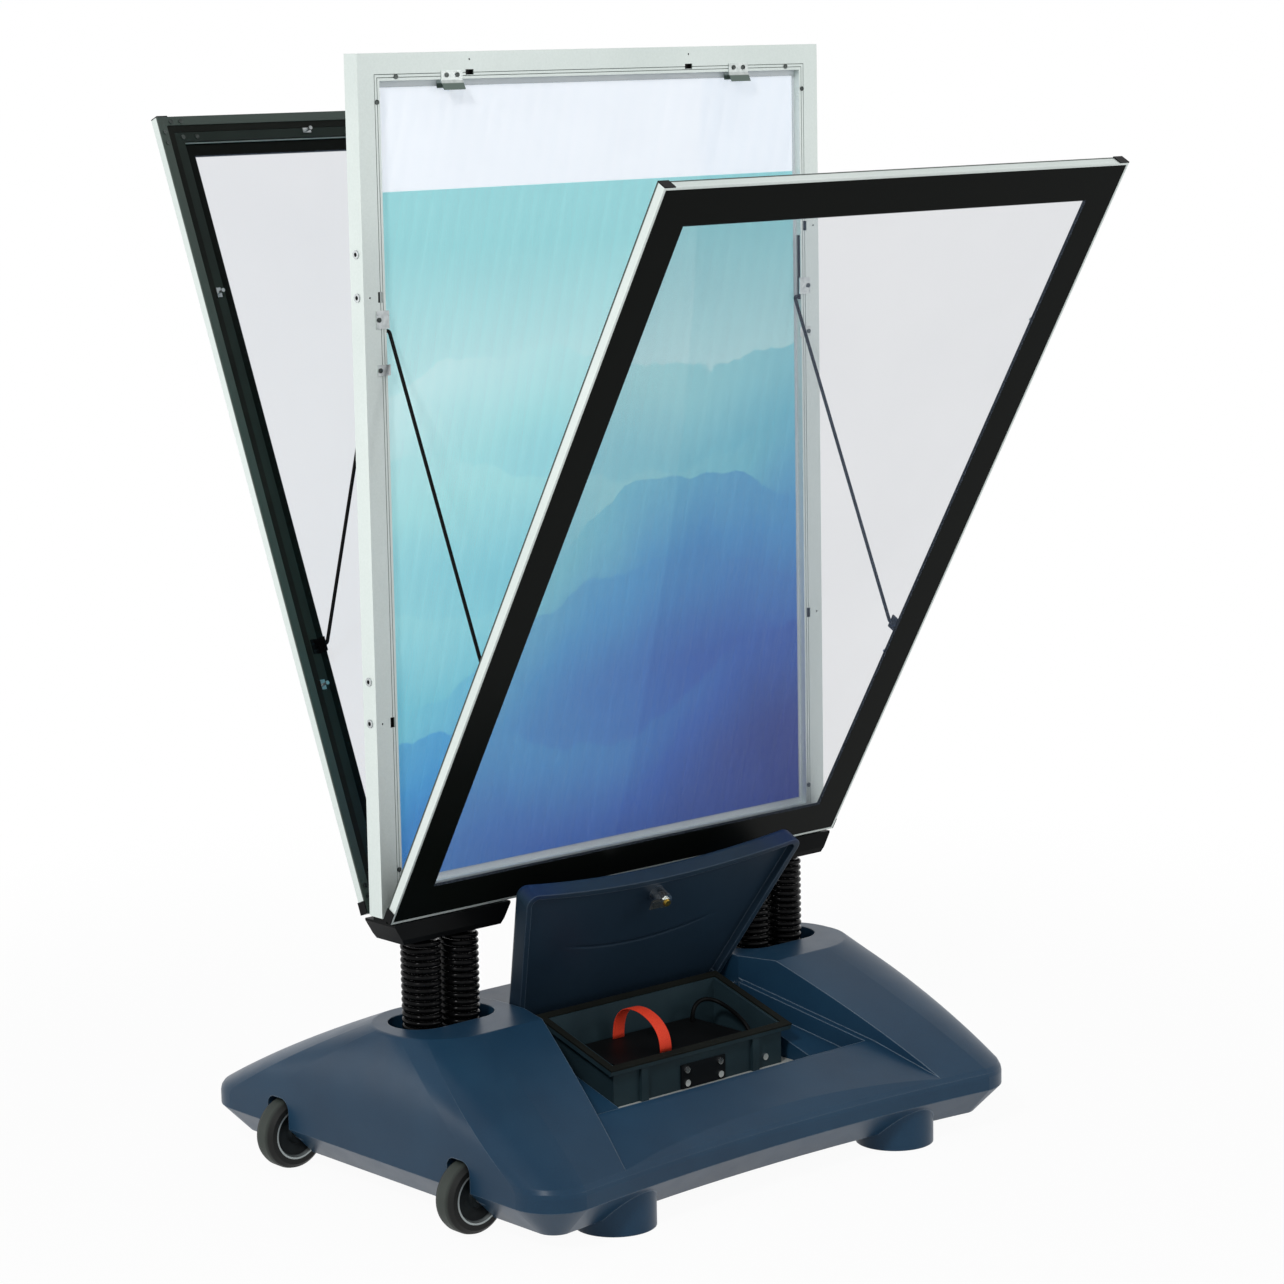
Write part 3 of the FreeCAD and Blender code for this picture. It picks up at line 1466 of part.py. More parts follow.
plate_foot = tray_top + 1
plate_front = -n.box_front - n.catch_plate_thick
back = Vector(0, -1, 0)
screw_seats = []
for x in (plate_left + 8, plate_right - 8):
    for z in (plate_foot + 6, plate_foot + n.catch_plate_high - 6):
        screw_seats.append(Vector(x, plate_front, z))
screw_seats.append(Vector(n.rib_x + 17, -n.box_front, plate_foot + 11))
bores = Part.makeCompound([
    bar(at + back * 3, at - back * (n.box_screw_long + n.slide_gap), n.box_screw_shank + n.slide_gap)
    for at in screw_seats
])
piece("battery_box", formed("BatteryBox", case.cut(bores).removeSplitter()))
catch = block(plate_left, plate_right, plate_front, -n.box_front, plate_foot, plate_foot + n.catch_plate_high)
piece("lid_catch", formed("LidCatch", catch.cut(bores)))
piece("box_screws", formed("BoxScrews", Part.makeCompound([
    screw(at, back, n.box_screw_head, n.box_screw_head_high, n.box_screw_shank, n.box_screw_long)
    for at in screw_seats
])))
ring = block(-n.rim_half, n.rim_half, -n.rim_length, 0, 0, n.seal_high)
edge = n.seal_ring
ring = ring.cut(block(edge - n.rim_half, n.rim_half - edge, edge - n.rim_length, -edge, -1, n.seal_high + 1))
piece("box_seal", formed("BoxSeal", tilted(ring)))

battery_y = -(n.box_rear + n.box_front) / 2
battery_foot = tray_top + n.box_floor
battery_top = battery_foot + n.battery_height
piece("battery", group("Battery", [box(
    "BatteryCase",
    (-s.battery_x - s.battery_length / 2, -(s.box_rear + s.box_front + s.battery_width) / 2,
     s.pit_floor + s.tray_thick + s.box_floor),
    (s.battery_length / 2 - s.battery_x, (s.battery_width - s.box_rear - s.box_front) / 2,
     s.pit_floor + s.tray_thick + s.box_floor + s.battery_height),
)]))
half_span = n.strap_span / 2
bands = []
for grow in (0, n.strap_thick):
    left = Vector(-n.strap_x - n.strap_width / 2, battery_y - half_span - grow, battery_top)
    right = Vector(left.x, battery_y + half_span + grow, battery_top)
    peak = Vector(left.x, battery_y, battery_top + n.strap_rise + grow)
    edges = [Part.Arc(left, peak, right).toShape(), Part.makeLine(right, left)]
    bands.append(Part.Face(Part.Wire(edges)).extrude(Vector(n.strap_width, 0, 0)))
piece("battery_strap", formed("BatteryStrap", bands[1].cut(bands[0])))
cable_start = Vector(n.battery_length / 2 - n.battery_x - 11, -60, battery_top)
cable_x = gland_at.x - 18
cable_points = [
    cable_start,
    cable_start + up * 22,
    Vector(cable_x, cable_start.y, cable_start.z + 22),
    Vector(cable_x, gland_at.y, battery_top),
    Vector(cable_x, gland_at.y, gland_at.z),
    gland_at + out_x * n.box_wall,
]
piece("battery_cable", formed("BatteryCable", bent_wire(cable_points, n.cable_bend, n.cable_radius)))
gland = bar(gland_at - out_x * 4, gland_at, n.cable_radius * 2.6)
gland = gland.fuse(bar(gland_at - out_x * 4, gland_at + out_x * n.box_wall, n.cable_radius * 2 - n.slide_gap))
gland = gland.cut(bar(gland_at - out_x * 10, gland_at + out_x * 10, n.cable_radius + n.gland_gap))
piece("cable_gland", formed("CableGland", gland.removeSplitter()))

# Battery lid, drawn flat with its length along -Y and its pivot at the origin
lid_place = Placement(lid_axis, Rotation(Vector(1, 0, 0), n.lid_slope - n.lid_open))


def lid_plan(inset, low, high):
    # The lid's tapered outline with a hollow front edge, as an upright solid.
    rear = n.lid_rear - inset
    front = inset - n.lid_length
    taper = (n.lid_front_half - n.lid_rear_half) / (n.lid_length + n.lid_rear)
    rear_half = n.lid_rear_half + taper * inset - inset
    front_half = n.lid_front_half - taper * inset - inset
    a = Vector(-rear_half, rear, low)
    b = Vector(rear_half, rear, low)
    c = Vector(front_half, front, low)
    d = Vector(-front_half, front, low)
    edges = [
        Part.makeLine(a, b),
        Part.makeLine(b, c),
        Part.Arc(c, Vector(0, front + n.lid_bow, low), d).toShape(),
        Part.makeLine(d, a),
    ]
    return Part.Face(Part.Wire(edges)).extrude(Vector(0, 0, high - low))


lid_low = n.lid_inner - n.lid_rim
lid_high = n.lid_inner + n.lid_thick
lid = lid_plan(0, lid_low, lid_high)
upright = [e for e in lid.Edges if abs(e.BoundBox.ZLength - (lid_high - lid_low)) < 0.01]
lid = lid.makeFillet(n.lid_round * 1.6, upright)
crown = [e for e in lid.Edges if e.BoundBox.ZMin > lid_high - 0.01]
lid = lid.makeFillet(n.lid_round, crown)
recess = lid_plan(n.lid_rim_width, lid_low - 1, n.lid_inner)
upright = [e for e in recess.Edges if abs(e.BoundBox.ZLength - n.lid_rim - 1) < 0.01]
lid = lid.cut(recess.makeFillet(n.lid_round, upright))
# The rear rim is open between the ears, where the rim of the box comes when the lid is closed.
rear_gap = n.rim_half + n.lid_box_gap
lid = lid.cut(block(-rear_gap, rear_gap, -n.lid_round, n.lid_rear + 1, lid_low - 1, n.lid_inner))
for x in (-1, 1):
    outer = x * n.lid_rear_half
    inner = x * (n.lid_rear_half - n.ear_thick)
    start = Vector(min(outer, inner), 0, 0)
    ear = bar(start, start + out_x * n.ear_thick, n.ear_radius)
    ear = ear.fuse(block(inner, outer, -n.ear_radius, n.lid_rear, 0, n.lid_inner))
    lid = lid.fuse(ear).cut(bar(start - out_x, start + out_x * (n.ear_thick + 1), n.lid_pin + n.pin_gap))
lock_at = Vector(n.lock_x, -n.lock_along, 0)
lid = lid.cut(bar(lock_at, lock_at + up * 80, n.lock_radius + n.slide_gap))
piece("lid", formed("Lid", lid.removeSplitter()), lid_place)
lock_foot = n.lid_inner - n.lock_hang
barrel = bar(lock_at + up * lock_foot, lock_at + up * (lid_high + 1), n.lock_radius)
barrel = barrel.fuse(bar(lock_at + up * lid_high, lock_at + up * (lid_high + 2), n.lock_flange))
piece("lock_barrel", formed("LockBarrel", barrel.removeSplitter()), lid_place)
cam_foot = lock_foot - n.cam_thick
cam = bar(lock_at + up * cam_foot, lock_at + up * lock_foot, n.cam_width / 2)
cam = cam.fuse(block(
    n.lock_x - n.cam_long, n.lock_x, -n.lock_along - n.cam_width / 2, -n.lock_along + n.cam_width / 2,
    cam_foot, lock_foot,
))
cam = cam.fuse(bar(lock_at + up * (cam_foot - 2), lock_at + up * cam_foot, n.cam_post))
piece("lock_cam", formed("LockCam", cam.removeSplitter()), lid_place)
lid_pins = []
for x in (-1, 1):
    start = lid_axis + Vector(x * pin_start, 0, 0)
    lid_pins.append(bar(start, start + Vector(x * n.lid_pin_long, 0, 0), n.lid_pin))
piece("lid_hinge_pins", formed("LidHingePins", Part.makeCompound(lid_pins)))

doc.recompute()

# Check every object, then write one file per sub-part
for item in doc.Objects:
    bad = [state for state in item.State if state in ("Invalid", "Error")]
    if bad:
        raise RuntimeError("%s is in state %s" % (item.Label, bad))
os.makedirs("parts", exist_ok=True)
for item in pieces:
    shape = item.Shape
    if shape.isNull() or not shape.isValid() or not shape.Solids:
        raise RuntimeError("%s has no valid solid" % item.Label)
    shape.exportStep("parts/%s.step" % item.Label)
print("wrote %d parts" % len(pieces))
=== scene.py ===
import json
import math
import bpy
import bmesh
from mathutils import Matrix, Vector


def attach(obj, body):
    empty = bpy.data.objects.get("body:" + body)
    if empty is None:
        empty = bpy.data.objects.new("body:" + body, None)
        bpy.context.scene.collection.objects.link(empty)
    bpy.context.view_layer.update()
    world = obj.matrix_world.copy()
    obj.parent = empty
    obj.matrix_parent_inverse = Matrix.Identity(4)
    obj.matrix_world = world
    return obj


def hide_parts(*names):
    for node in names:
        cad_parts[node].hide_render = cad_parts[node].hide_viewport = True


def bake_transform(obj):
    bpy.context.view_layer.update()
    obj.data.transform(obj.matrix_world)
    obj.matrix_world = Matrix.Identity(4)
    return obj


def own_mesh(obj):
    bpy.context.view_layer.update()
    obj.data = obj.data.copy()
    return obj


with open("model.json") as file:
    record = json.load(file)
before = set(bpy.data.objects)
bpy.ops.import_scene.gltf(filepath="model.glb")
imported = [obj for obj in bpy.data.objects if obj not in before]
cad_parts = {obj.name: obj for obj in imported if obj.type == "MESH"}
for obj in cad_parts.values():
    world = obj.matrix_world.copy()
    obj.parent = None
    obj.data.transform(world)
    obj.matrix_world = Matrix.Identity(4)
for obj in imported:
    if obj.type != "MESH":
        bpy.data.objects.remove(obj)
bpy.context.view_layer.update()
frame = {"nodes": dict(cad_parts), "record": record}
nodes = frame["nodes"]
scene = bpy.context.scene
print("frame loaded:", len(nodes), "nodes")


class Val:  # a socket that takes part in sums
    def __init__(self, finish, socket):
        self.finish = finish
        self.socket = socket

    def math(self, operation, first, second=0.0):
        return self.finish.node("ShaderNodeMath", {"operation": operation}, {0: first, 1: second})

    def __add__(self, other):
        return self.math("ADD", self, other)

    def __radd__(self, other):
        return self.math("ADD", other, self)

    def __sub__(self, other):
        return self.math("SUBTRACT", self, other)

    def __rsub__(self, other):
        return self.math("SUBTRACT", other, self)

    def __mul__(self, other):
        return self.math("MULTIPLY", self, other)

    def __rmul__(self, other):
        return self.math("MULTIPLY", other, self)

    def __truediv__(self, other):
        return self.math("DIVIDE", self, other)

    def __abs__(self):
        return self.math("ABSOLUTE", self)

    def sine(self):
        return self.math("SINE", self)

    def root(self):
        return self.math("SQRT", self)


edgeLook = {"turnFrom": 0.02, "turnTo": 0.14, "samples": 4}  # how far a normal turns where an edge gets its painted highlight


class Finish:  # one material and the nodes that make it
    def __init__(self, name):
        self.material = bpy.data.materials.new(name)
        self.material.use_nodes = True
        self.tree = self.material.node_tree
        self.tree.nodes.clear()
        self.place = self.node("ShaderNodeTexCoord", out="Object")

    def node(self, kind, settings=None, inputs=None, out=0):
        made = self.tree.nodes.new(kind)
        for name, value in (settings or {}).items():
            if name == "stops":
                self.setStops(made.color_ramp, value)
            else:
                setattr(made, name, value)
        for name, value in (inputs or {}).items():
            if isinstance(value, Val):
                self.tree.links.new(value.socket, made.inputs[name])
            else:
                made.inputs[name].default_value = value
        return Val(self, made.outputs[out]) if made.outputs else None

    def setStops(self, ramp, stops):
        while len(ramp.elements) < len(stops):
            ramp.elements.new(0.5)
        for element, (at, colour) in zip(ramp.elements, stops):
            element.position = at
            element.color = (*colour, 1.0)

    def axes(self):
        split = self.node("ShaderNodeSeparateXYZ", inputs={0: self.place})
        others = split.socket.node.outputs
        return split, Val(self, others[1]), Val(self, others[2])

    def noise(self, scale, detail=3.0, rough=0.5):
        return self.node("ShaderNodeTexNoise", inputs={
            "Vector": self.place, "Scale": scale, "Detail": detail, "Roughness": rough,
        }, out="Fac")

    def vary(self, level, swing, noise):  # a level that swings both ways with a noise
        return level - swing + 2 * swing * noise

    def ramp(self, factor, *stops):
        return self.node("ShaderNodeValToRGB", {"stops": stops}, {0: factor})

    def tones(self, factor, low, high, span=(0.3, 0.7)):  # one tone to another over a span of a noise
        return self.ramp(factor, (span[0], low), (span[1], high))

    def mix(self, factor, first, second):
        made = self.node("ShaderNodeMix", {"data_type": "RGBA"}, {"Factor": factor}, out=2)
        for at, value in ((6, first), (7, second)):  # the colour sockets of this node
            socket = made.socket.node.inputs[at]
            if isinstance(value, Val):
                self.tree.links.new(value.socket, socket)
            else:
                socket.default_value = (*value, 1.0)
        return made

    def soft(self, value, low, high):  # 0 at low, 1 at high, smooth between
        return self.node("ShaderNodeMapRange", {"interpolation_type": "SMOOTHSTEP"}, {
            "Value": value, "From Min": low, "From Max": high,
        })

    def bump(self, height, strength, distance, normal=None):
        inputs = {"Height": height, "Strength": strength, "Distance": distance}
        if normal:
            inputs["Normal"] = normal
        return self.node("ShaderNodeBump", inputs=inputs)

    def rounded(self, radius):  # normals that run softly over sharp edges
        return self.node("ShaderNodeBevel", {"samples": edgeLook["samples"]}, {"Radius": radius})

    def edges(self, softNormal):  # 1 along sharp edges, 0 on open faces
        flat = self.node("ShaderNodeNewGeometry", out="Normal")
        level = self.node(
            "ShaderNodeVectorMath", {"operation": "DOT_PRODUCT"}, {0: softNormal, 1: flat}, out="Value",
        )
        return self.soft(1.0 - level, edgeLook["turnFrom"], edgeLook["turnTo"])

    def principled(self, **values):
        shader = self.node("ShaderNodeBsdfPrincipled", inputs={
            name.replace("_", " "): value for name, value in values.items()
        })
        return self.surface(shader)

    def surface(self, shader):
        self.node("ShaderNodeOutputMaterial", inputs={"Surface": shader})
        return self.material


def rgb(red, green, blue):  # screen colour to the linear colour that sockets take
    shares = [level / 255 for level in (red, green, blue)]
    return tuple(s / 12.92 if s <= 0.04045 else ((s + 0.055) / 1.055) ** 2.4 for s in shares)


# Base and lid

shellLook = {
    # edge: colour of the painted highlight along sharp edges, partly edge polish
    "low": rgb(25, 54, 78), "high": rgb(35, 69, 95), "edge": rgb(150, 168, 184),
    "edgeWidth": 0.0018, "edgeLightShare": 0.6, "rough": 0.34, "roughSwing": 0.05, "specular": 0.2,
    "cloudScale": 9.0, "sheenScale": 40.0, "grainScale": 900.0, "speckScale": 2600.0, "speckShare": 0.5,
    "cloudShare": 0.7, "toneSpan": (0.3, 0.72), "grain": 0.05, "grainDepth": 0.0006,
}


def mouldedColour(f, grain, look):  # soft clouds and a fine grain between two tones
    cloud = f.noise(shellLook["cloudScale"], 4.0)
    share = shellLook["cloudShare"]
    return f.tones(share * cloud + (1.0 - share) * grain, look["low"], look["high"], shellLook["toneSpan"])


def shellFinish():  # moulded shell with a fine leathery grain, and a painted highlight along its edges that also stands for edge polish
    f = Finish("slateShell")
    grain = f.noise(shellLook["grainScale"], 2.0)
    speck = f.noise(shellLook["speckScale"], 1.0)
    soft = f.rounded(shellLook["edgeWidth"])
    # painted highlight: sharp edges turn lighter, partly as polish
    paintedEdgeLight = shellLook["edgeLightShare"] * f.edges(soft)
    return f.principled(
        Base_Color=f.mix(paintedEdgeLight, mouldedColour(f, grain, shellLook), shellLook["edge"]),
        Roughness=f.vary(shellLook["rough"], shellLook["roughSwing"], f.noise(shellLook["sheenScale"])),
        Specular_IOR_Level=shellLook["specular"],
        Normal=f.bump(
            grain + shellLook["speckShare"] * speck, shellLook["grain"], shellLook["grainDepth"], soft,
        ),
    )


lidLook = {
    "pivot": (-0.0277, 0.1506), "along": (-0.4617, 0.887), "low": rgb(29, 45, 60), "high": rgb(37, 56, 72),
    "lip": rgb(20, 42, 84), "lipFrom": 0.184, "lipBlur": 0.012, "lipShare": 0.8,
    # edge: colour of the painted highlight along sharp edges
    "edge": rgb(120, 138, 158), "edgeWidth": 0.002, "edgeLightShare": 0.5,
    "rough": 0.43, "roughSwing": 0.05, "specular": 0.15, "grain": 0.05,
    "groove": {
        "middle": 0.0, "foot": 0.0845, "rise": 0.0115, "reach": 0.1, "width": 0.0035, "depth": 0.0016,
        "strength": 0.6, "fadeFrom": 0.7, "fadeTo": 1.25,
    },
}


def lidPlace(f):  # distance across the lid, and up it from its pins
    x, y, z = f.axes()
    alongY, alongZ = lidLook["along"]
    return x, alongY * (y - lidLook["pivot"][0]) + alongZ * (z - lidLook["pivot"][1])


def lidFinish():  # moulded like the base, with a curved groove, a bluer lip and a painted highlight along its edges
    f = Finish("navyLid")
    x, up = lidPlace(f)
    groove = lidLook["groove"]
    side = (x - groove["middle"]) / groove["reach"]
    line = abs(up - groove["foot"] - groove["rise"] * side * side)
    hollow = f.soft(line, groove["width"], 0.0) * f.soft(abs(side), groove["fadeTo"], groove["fadeFrom"])
    grain = f.noise(shellLook["grainScale"], 2.0)
    soft = f.rounded(lidLook["edgeWidth"])
    lip = f.soft(up, lidLook["lipFrom"], lidLook["lipFrom"] + lidLook["lipBlur"])
    colour = f.mix(lidLook["lipShare"] * lip, mouldedColour(f, grain, lidLook), lidLook["lip"])
    # painted highlight: sharp edges turn lighter
    colour = f.mix(lidLook["edgeLightShare"] * f.edges(soft), colour, lidLook["edge"])
    return f.principled(
        Base_Color=colour, Specular_IOR_Level=lidLook["specular"],
        Roughness=f.vary(lidLook["rough"], lidLook["roughSwing"], f.noise(shellLook["sheenScale"])),
        Normal=f.bump(lidLook["grain"] * grain - hollow, groove["strength"], groove["depth"], soft),
    )


# Rails of the frame and the doors

# painted shade for the recesses in the frame's faces and the slots behind them
frameLook = {
    "middle": 0.768, "outX": 0.3273, "outZ": 0.4531, "inX": 0.3033, "inZ": 0.4299,
    "line": 0.0106, "hollow": 0.0096, "blur": 0.0003,
    "paintedLineShade": rgb(112, 126, 121), "paintedHollowShade": rgb(10, 12, 12),
}


def insideOfFrame(f):  # painted shade in the fine lines of the faces, and darker painted shade in the slots behind them
    x, y, z = f.axes()
    blur = frameLook["blur"]

    def under(value, limit):
        return f.soft(value, frameLook[limit] + blur, frameLook[limit] - blur)

    tall = abs(z - frameLook["middle"])
    within = under(abs(x), "outX") * under(tall, "outZ")
    beside = within * (1.0 - under(abs(x), "inX") * under(tall, "inZ"))
    return (
        (beside * under(abs(y), "line"), frameLook["paintedLineShade"]),
        (beside * under(abs(y), "hollow"), frameLook["paintedHollowShade"]),
    )


# painted shade on the inner faces of the door rails
doorLook = {
    "hingeY": 0.0135, "hingeZ": 0.3113, "innerY": 0.0134, "inside": rgb(48, 61, 55),
    "insideFrom": 0.0014, "insideTo": 0.0028,
}


def fromHinge(f, side):  # across a door, and out and up from its hinge
    x, y, z = f.axes()
    return x, side * y - doorLook["hingeY"], z - doorLook["hingeZ"]


def insideOfDoor(side, tilt):  # painted shade on the faces that look at the poster
    turn = math.radians(tilt)

    def paintedShades(f):
        x, out, up = fromHinge(f, side)
        depth = math.cos(turn) * out - math.sin(turn) * up + (doorLook["hingeY"] - doorLook["innerY"])
        return ((f.soft(depth, doorLook["insideTo"], doorLook["insideFrom"]), doorLook["inside"]),)

    return paintedShades


metalLook = {
    "low": rgb(208, 218, 214), "high": rgb(226, 234, 231), "rough": 0.52, "roughSwing": 0.06,
    "metallic": 0.55, "metallicLost": 0.85, "cloudScale": 6.0, "cloudShare": 0.6, "toneSpan": (0.25, 0.75),
    "streakScale": 420.0, "streakRough": 0.6, "streak": 0.04, "streakDepth": 0.0003,
}


def railFinish(name, paintedShades):  # satin anodised bars with fine drawing lines, and painted shade laid over them by masks
    f = Finish(name)
    streak = f.noise(metalLook["streakScale"], 2.0, metalLook["streakRough"])
    cloud = f.noise(metalLook["cloudScale"])
    share = metalLook["cloudShare"]
    level = share * cloud + (1.0 - share) * streak
    colour = f.tones(level, metalLook["low"], metalLook["high"], metalLook["toneSpan"])
    metallic = metalLook["metallic"]
    # painted shade: each mask darkens the colour and takes away metal
    for mask, shade in paintedShades(f):
        colour = f.mix(mask, colour, shade)
        metallic = metallic * (1.0 - metalLook["metallicLost"] * mask)
    return f.principled(
        Base_Color=colour, Metallic=metallic,
        Roughness=f.vary(metalLook["rough"], metalLook["roughSwing"], streak),
        Normal=f.bump(streak, metalLook["streak"], metalLook["streakDepth"]),
    )


# Small steel and plastic pieces

steelLook = {
    "metallic": 0.95, "roughSwing": 0.08, "sheenScale": 320.0, "wearScale": 160.0, "wear": 0.05,
    "wearDepth": 0.0003,
}


def steelFinish(name, low, high, rough):
    f = Finish(name)
    wear = f.noise(steelLook["wearScale"], 4.0)
    return f.principled(
        Base_Color=f.tones(wear, low, high), Metallic=steelLook["metallic"],
        Roughness=f.vary(rough, steelLook["roughSwing"], f.noise(steelLook["sheenScale"], 2.0)),
        Normal=f.bump(wear, steelLook["wear"], steelLook["wearDepth"]),
    )


plasticLook = {
    "roughSwing": 0.05, "cloudScale": 14.0, "grainScale": 500.0, "grain": 0.06, "grainDepth": 0.0005,
}


def plasticFinish(name, low, high, rough, specular=0.25):
    f = Finish(name)
    grain = f.noise(plasticLook["grainScale"])
    cloud = f.noise(plasticLook["cloudScale"])
    return f.principled(
        Base_Color=f.tones(cloud, low, high), Specular_IOR_Level=specular,
        Roughness=f.vary(rough, plasticLook["roughSwing"], grain),
        Normal=f.bump(grain, plasticLook["grain"], plasticLook["grainDepth"]),
    )


# Panes, covers and posters

paneLook = {
    "halfWidth": 0.287, "low": 0.0472, "high": 0.8682, "edge": 0.0004,
    "border": rgb(15, 18, 16), "clear": rgb(150, 164, 186), "veil": 0.16, "veilSwing": 0.15,
    "rough": 0.24, "roughSwing": 0.04, "specular": 0.03, "smearScale": 5.0,
}


def paneFinish(name, side, tilt):  # clear sheet with a black printed border
    f = Finish(name)
    x, out, up = fromHinge(f, side)
    turn = math.radians(tilt)
    rise = math.sin(turn) * out + math.cos(turn) * up  # up along the open door
    half = paneLook["halfWidth"]
    edge = paneLook["edge"]
    inX = f.soft(abs(x), half + edge, half - edge)
    inRise = f.soft(rise, paneLook["low"] - edge, paneLook["low"] + edge)
    inTop = f.soft(rise, paneLook["high"] + edge, paneLook["high"] - edge)
    window = inX * inRise * inTop
    smear = f.noise(paneLook["smearScale"])
    veil = paneLook["veil"] * f.vary(1.0, paneLook["veilSwing"], smear)
    return f.principled(
        Base_Color=f.mix(window, paneLook["border"], paneLook["clear"]), Alpha=1.0 - window * (1.0 - veil),
        Roughness=f.vary(paneLook["rough"], paneLook["roughSwing"], smear),
        Specular_IOR_Level=paneLook["specular"],
    )


filmLook = {
    "tint": rgb(235, 238, 242), "veil": 0.04, "veilSwing": 0.01, "rough": 0.25, "roughSwing": 0.05,
    "specular": 0.03, "smearScale": 4.0,
}


def filmFinish():
    f = Finish("clearCover")
    smear = f.noise(filmLook["smearScale"], 2.0)
    return f.principled(
        Base_Color=(*filmLook["tint"], 1.0), Alpha=f.vary(filmLook["veil"], filmLook["veilSwing"], smear),
        Roughness=f.vary(filmLook["rough"], filmLook["roughSwing"], smear),
        Specular_IOR_Level=filmLook["specular"],
    )


posterLook = {
    # glow: strength of the print's painted glow
    "width": 0.594, "height": 0.841, "foot": 0.3475, "glow": 0.39, "head": 0.872, "headBlur": 0.001,
    "white": rgb(243, 246, 250), "skyHigh": rgb(164, 219, 222), "skyLow": rgb(212, 238, 238),
    "skySpan": (0.55, 0.8),
    "tones": (
        (0.0, rgb(212, 238, 238)), (0.22, rgb(176, 226, 228)), (0.42, rgb(134, 206, 220)),
        (0.6, rgb(86, 166, 214)), (0.8, rgb(58, 112, 194)), (1.0, rgb(48, 66, 156)),
    ),
    # ridge line, swing, waves, phase, tone
    "hills": (
        (0.60, 0.045, 2.3, 0.4, 0.02), (0.49, 0.06, 1.7, 2.1, 0.14), (0.37, 0.055, 2.9, 3.6, 0.28),
        (0.26, 0.06, 2.1, 5.2, 0.42), (0.13, 0.045, 3.3, 0.9, 0.54),
    ),
    "waveTurn": 2.2, "fineScale": 9.0, "fineSwing": 0.07, "lean": 0.08, "ridgeBlur": 0.004,
    "toneAcross": 0.3, "toneDown": 0.16, "mistDepth": 0.16,
    "rough": 0.55, "roughSwing": 0.05, "specular": 0.2,
    "paperScale": 60.0, "paper": 0.02, "paperDepth": 0.0002,
}


def posterFinish():  # a plain printed scene of misty hill lines under a white head band, lifted by a painted glow
    p = posterLook
    f = Finish("posterPrint")
    x, y, z = f.axes()
    across = x / p["width"] + 0.5
    upward = (z - p["foot"]) / p["height"]
    colour = f.tones(upward, p["skyLow"], p["skyHigh"], p["skySpan"])
    for base, swing, waves, phase, tone in p["hills"]:
        wave = (across * (waves * p["waveTurn"]) + phase).sine()
        fine = f.noise(p["fineScale"] + waves, 5.0) - 0.5
        ridge = base + swing * wave + p["fineSwing"] * fine + p["lean"] * across
        depth = ridge - upward
        shade = tone + p["toneAcross"] * across + p["toneDown"] * f.soft(depth, 0.0, p["mistDepth"])
        colour = f.mix(f.soft(depth, 0.0, p["ridgeBlur"]), colour, f.ramp(shade, *p["tones"]))
    head = f.soft(upward, p["head"] - p["headBlur"], p["head"] + p["headBlur"])
    colour = f.mix(head, colour, p["white"])
    paper = f.noise(p["paperScale"], 4.0)
    # painted light: the print glows with its own colour
    return f.principled(
        Base_Color=colour, Emission_Color=colour, Emission_Strength=p["glow"],
        Roughness=f.vary(p["rough"], p["roughSwing"], paper), Specular_IOR_Level=p["specular"],
        Normal=f.bump(paper, p["paper"], p["paperDepth"]),
    )


# Springs, strap, wheels, lock cam and clips

springLook = {
    "low": rgb(6, 6, 7), "high": rgb(12, 13, 14), "rough": 0.15, "roughSwing": 0.03, "specular": 0.08,
    "chipScale": 300.0, "chipSpan": (0.35, 0.75), "chip": 0.04, "chipDepth": 0.0002,
}


def springFinish():  # hard gloss black paint
    f = Finish("springPaint")
    chip = f.noise(springLook["chipScale"], 4.0)
    return f.principled(
        Base_Color=f.tones(chip, springLook["low"], springLook["high"], springLook["chipSpan"]),
        Specular_IOR_Level=springLook["specular"],
        Roughness=f.vary(springLook["rough"], springLook["roughSwing"], chip),
        Normal=f.bump(chip, springLook["chip"], springLook["chipDepth"]),
    )


strapLook = {
    "low": rgb(222, 42, 14), "high": rgb(255, 78, 40), "rough": 0.72, "ribTurn": 5200.0, "pickTurn": 3900.0,
    "yarnTone": 0.22, "fuzzTone": 0.5, "fuzzScale": 700.0, "toneSpan": (0.2, 0.8),
    "yarn": 0.25, "yarnDepth": 0.0004,
}


def strapFinish():  # woven webbing, ribs across its length
    f = Finish("strapWebbing")
    x, y, z = f.axes()
    yarn = (x * strapLook["ribTurn"]).sine() * ((y + z) * strapLook["pickTurn"]).sine()
    fuzz = f.noise(strapLook["fuzzScale"]) - 0.5
    tone = 0.5 + strapLook["yarnTone"] * yarn + strapLook["fuzzTone"] * fuzz
    return f.principled(
        Base_Color=f.tones(tone, strapLook["low"], strapLook["high"], strapLook["toneSpan"]),
        Roughness=strapLook["rough"], Normal=f.bump(yarn, strapLook["yarn"], strapLook["yarnDepth"]),
    )


wheelLook = {
    "x": -0.337, "y": 0.159, "z": 0.0415, "tread": 0.0085, "treadBlur": 0.003,
    "tyre": rgb(15, 17, 16), "tyreRough": 0.58, "tyreSpecular": 0.3, "rubberScale": 700.0, "rubber": 0.08,
    # colour and amounts of the painted light on the tread, in patches
    "treadLightPatch": rgb(60, 67, 62), "patchScale": 60.0, "treadLightLeast": 0.45, "treadLightMore": 0.7,
    "hub": rgb(18, 22, 24), "hubWorn": rgb(34, 40, 42), "hubRough": 0.42, "hubSpecular": 0.1,
    "wearScale": 80.0, "wearSpan": (0.35, 0.8), "wear": 0.06,
    "rim": rgb(168, 176, 176), "rimLow": 0.0245, "rimHigh": 0.0268, "rimMetallic": 0.7,
    "roughSwing": 0.08, "bumpDepth": 0.0004,
}


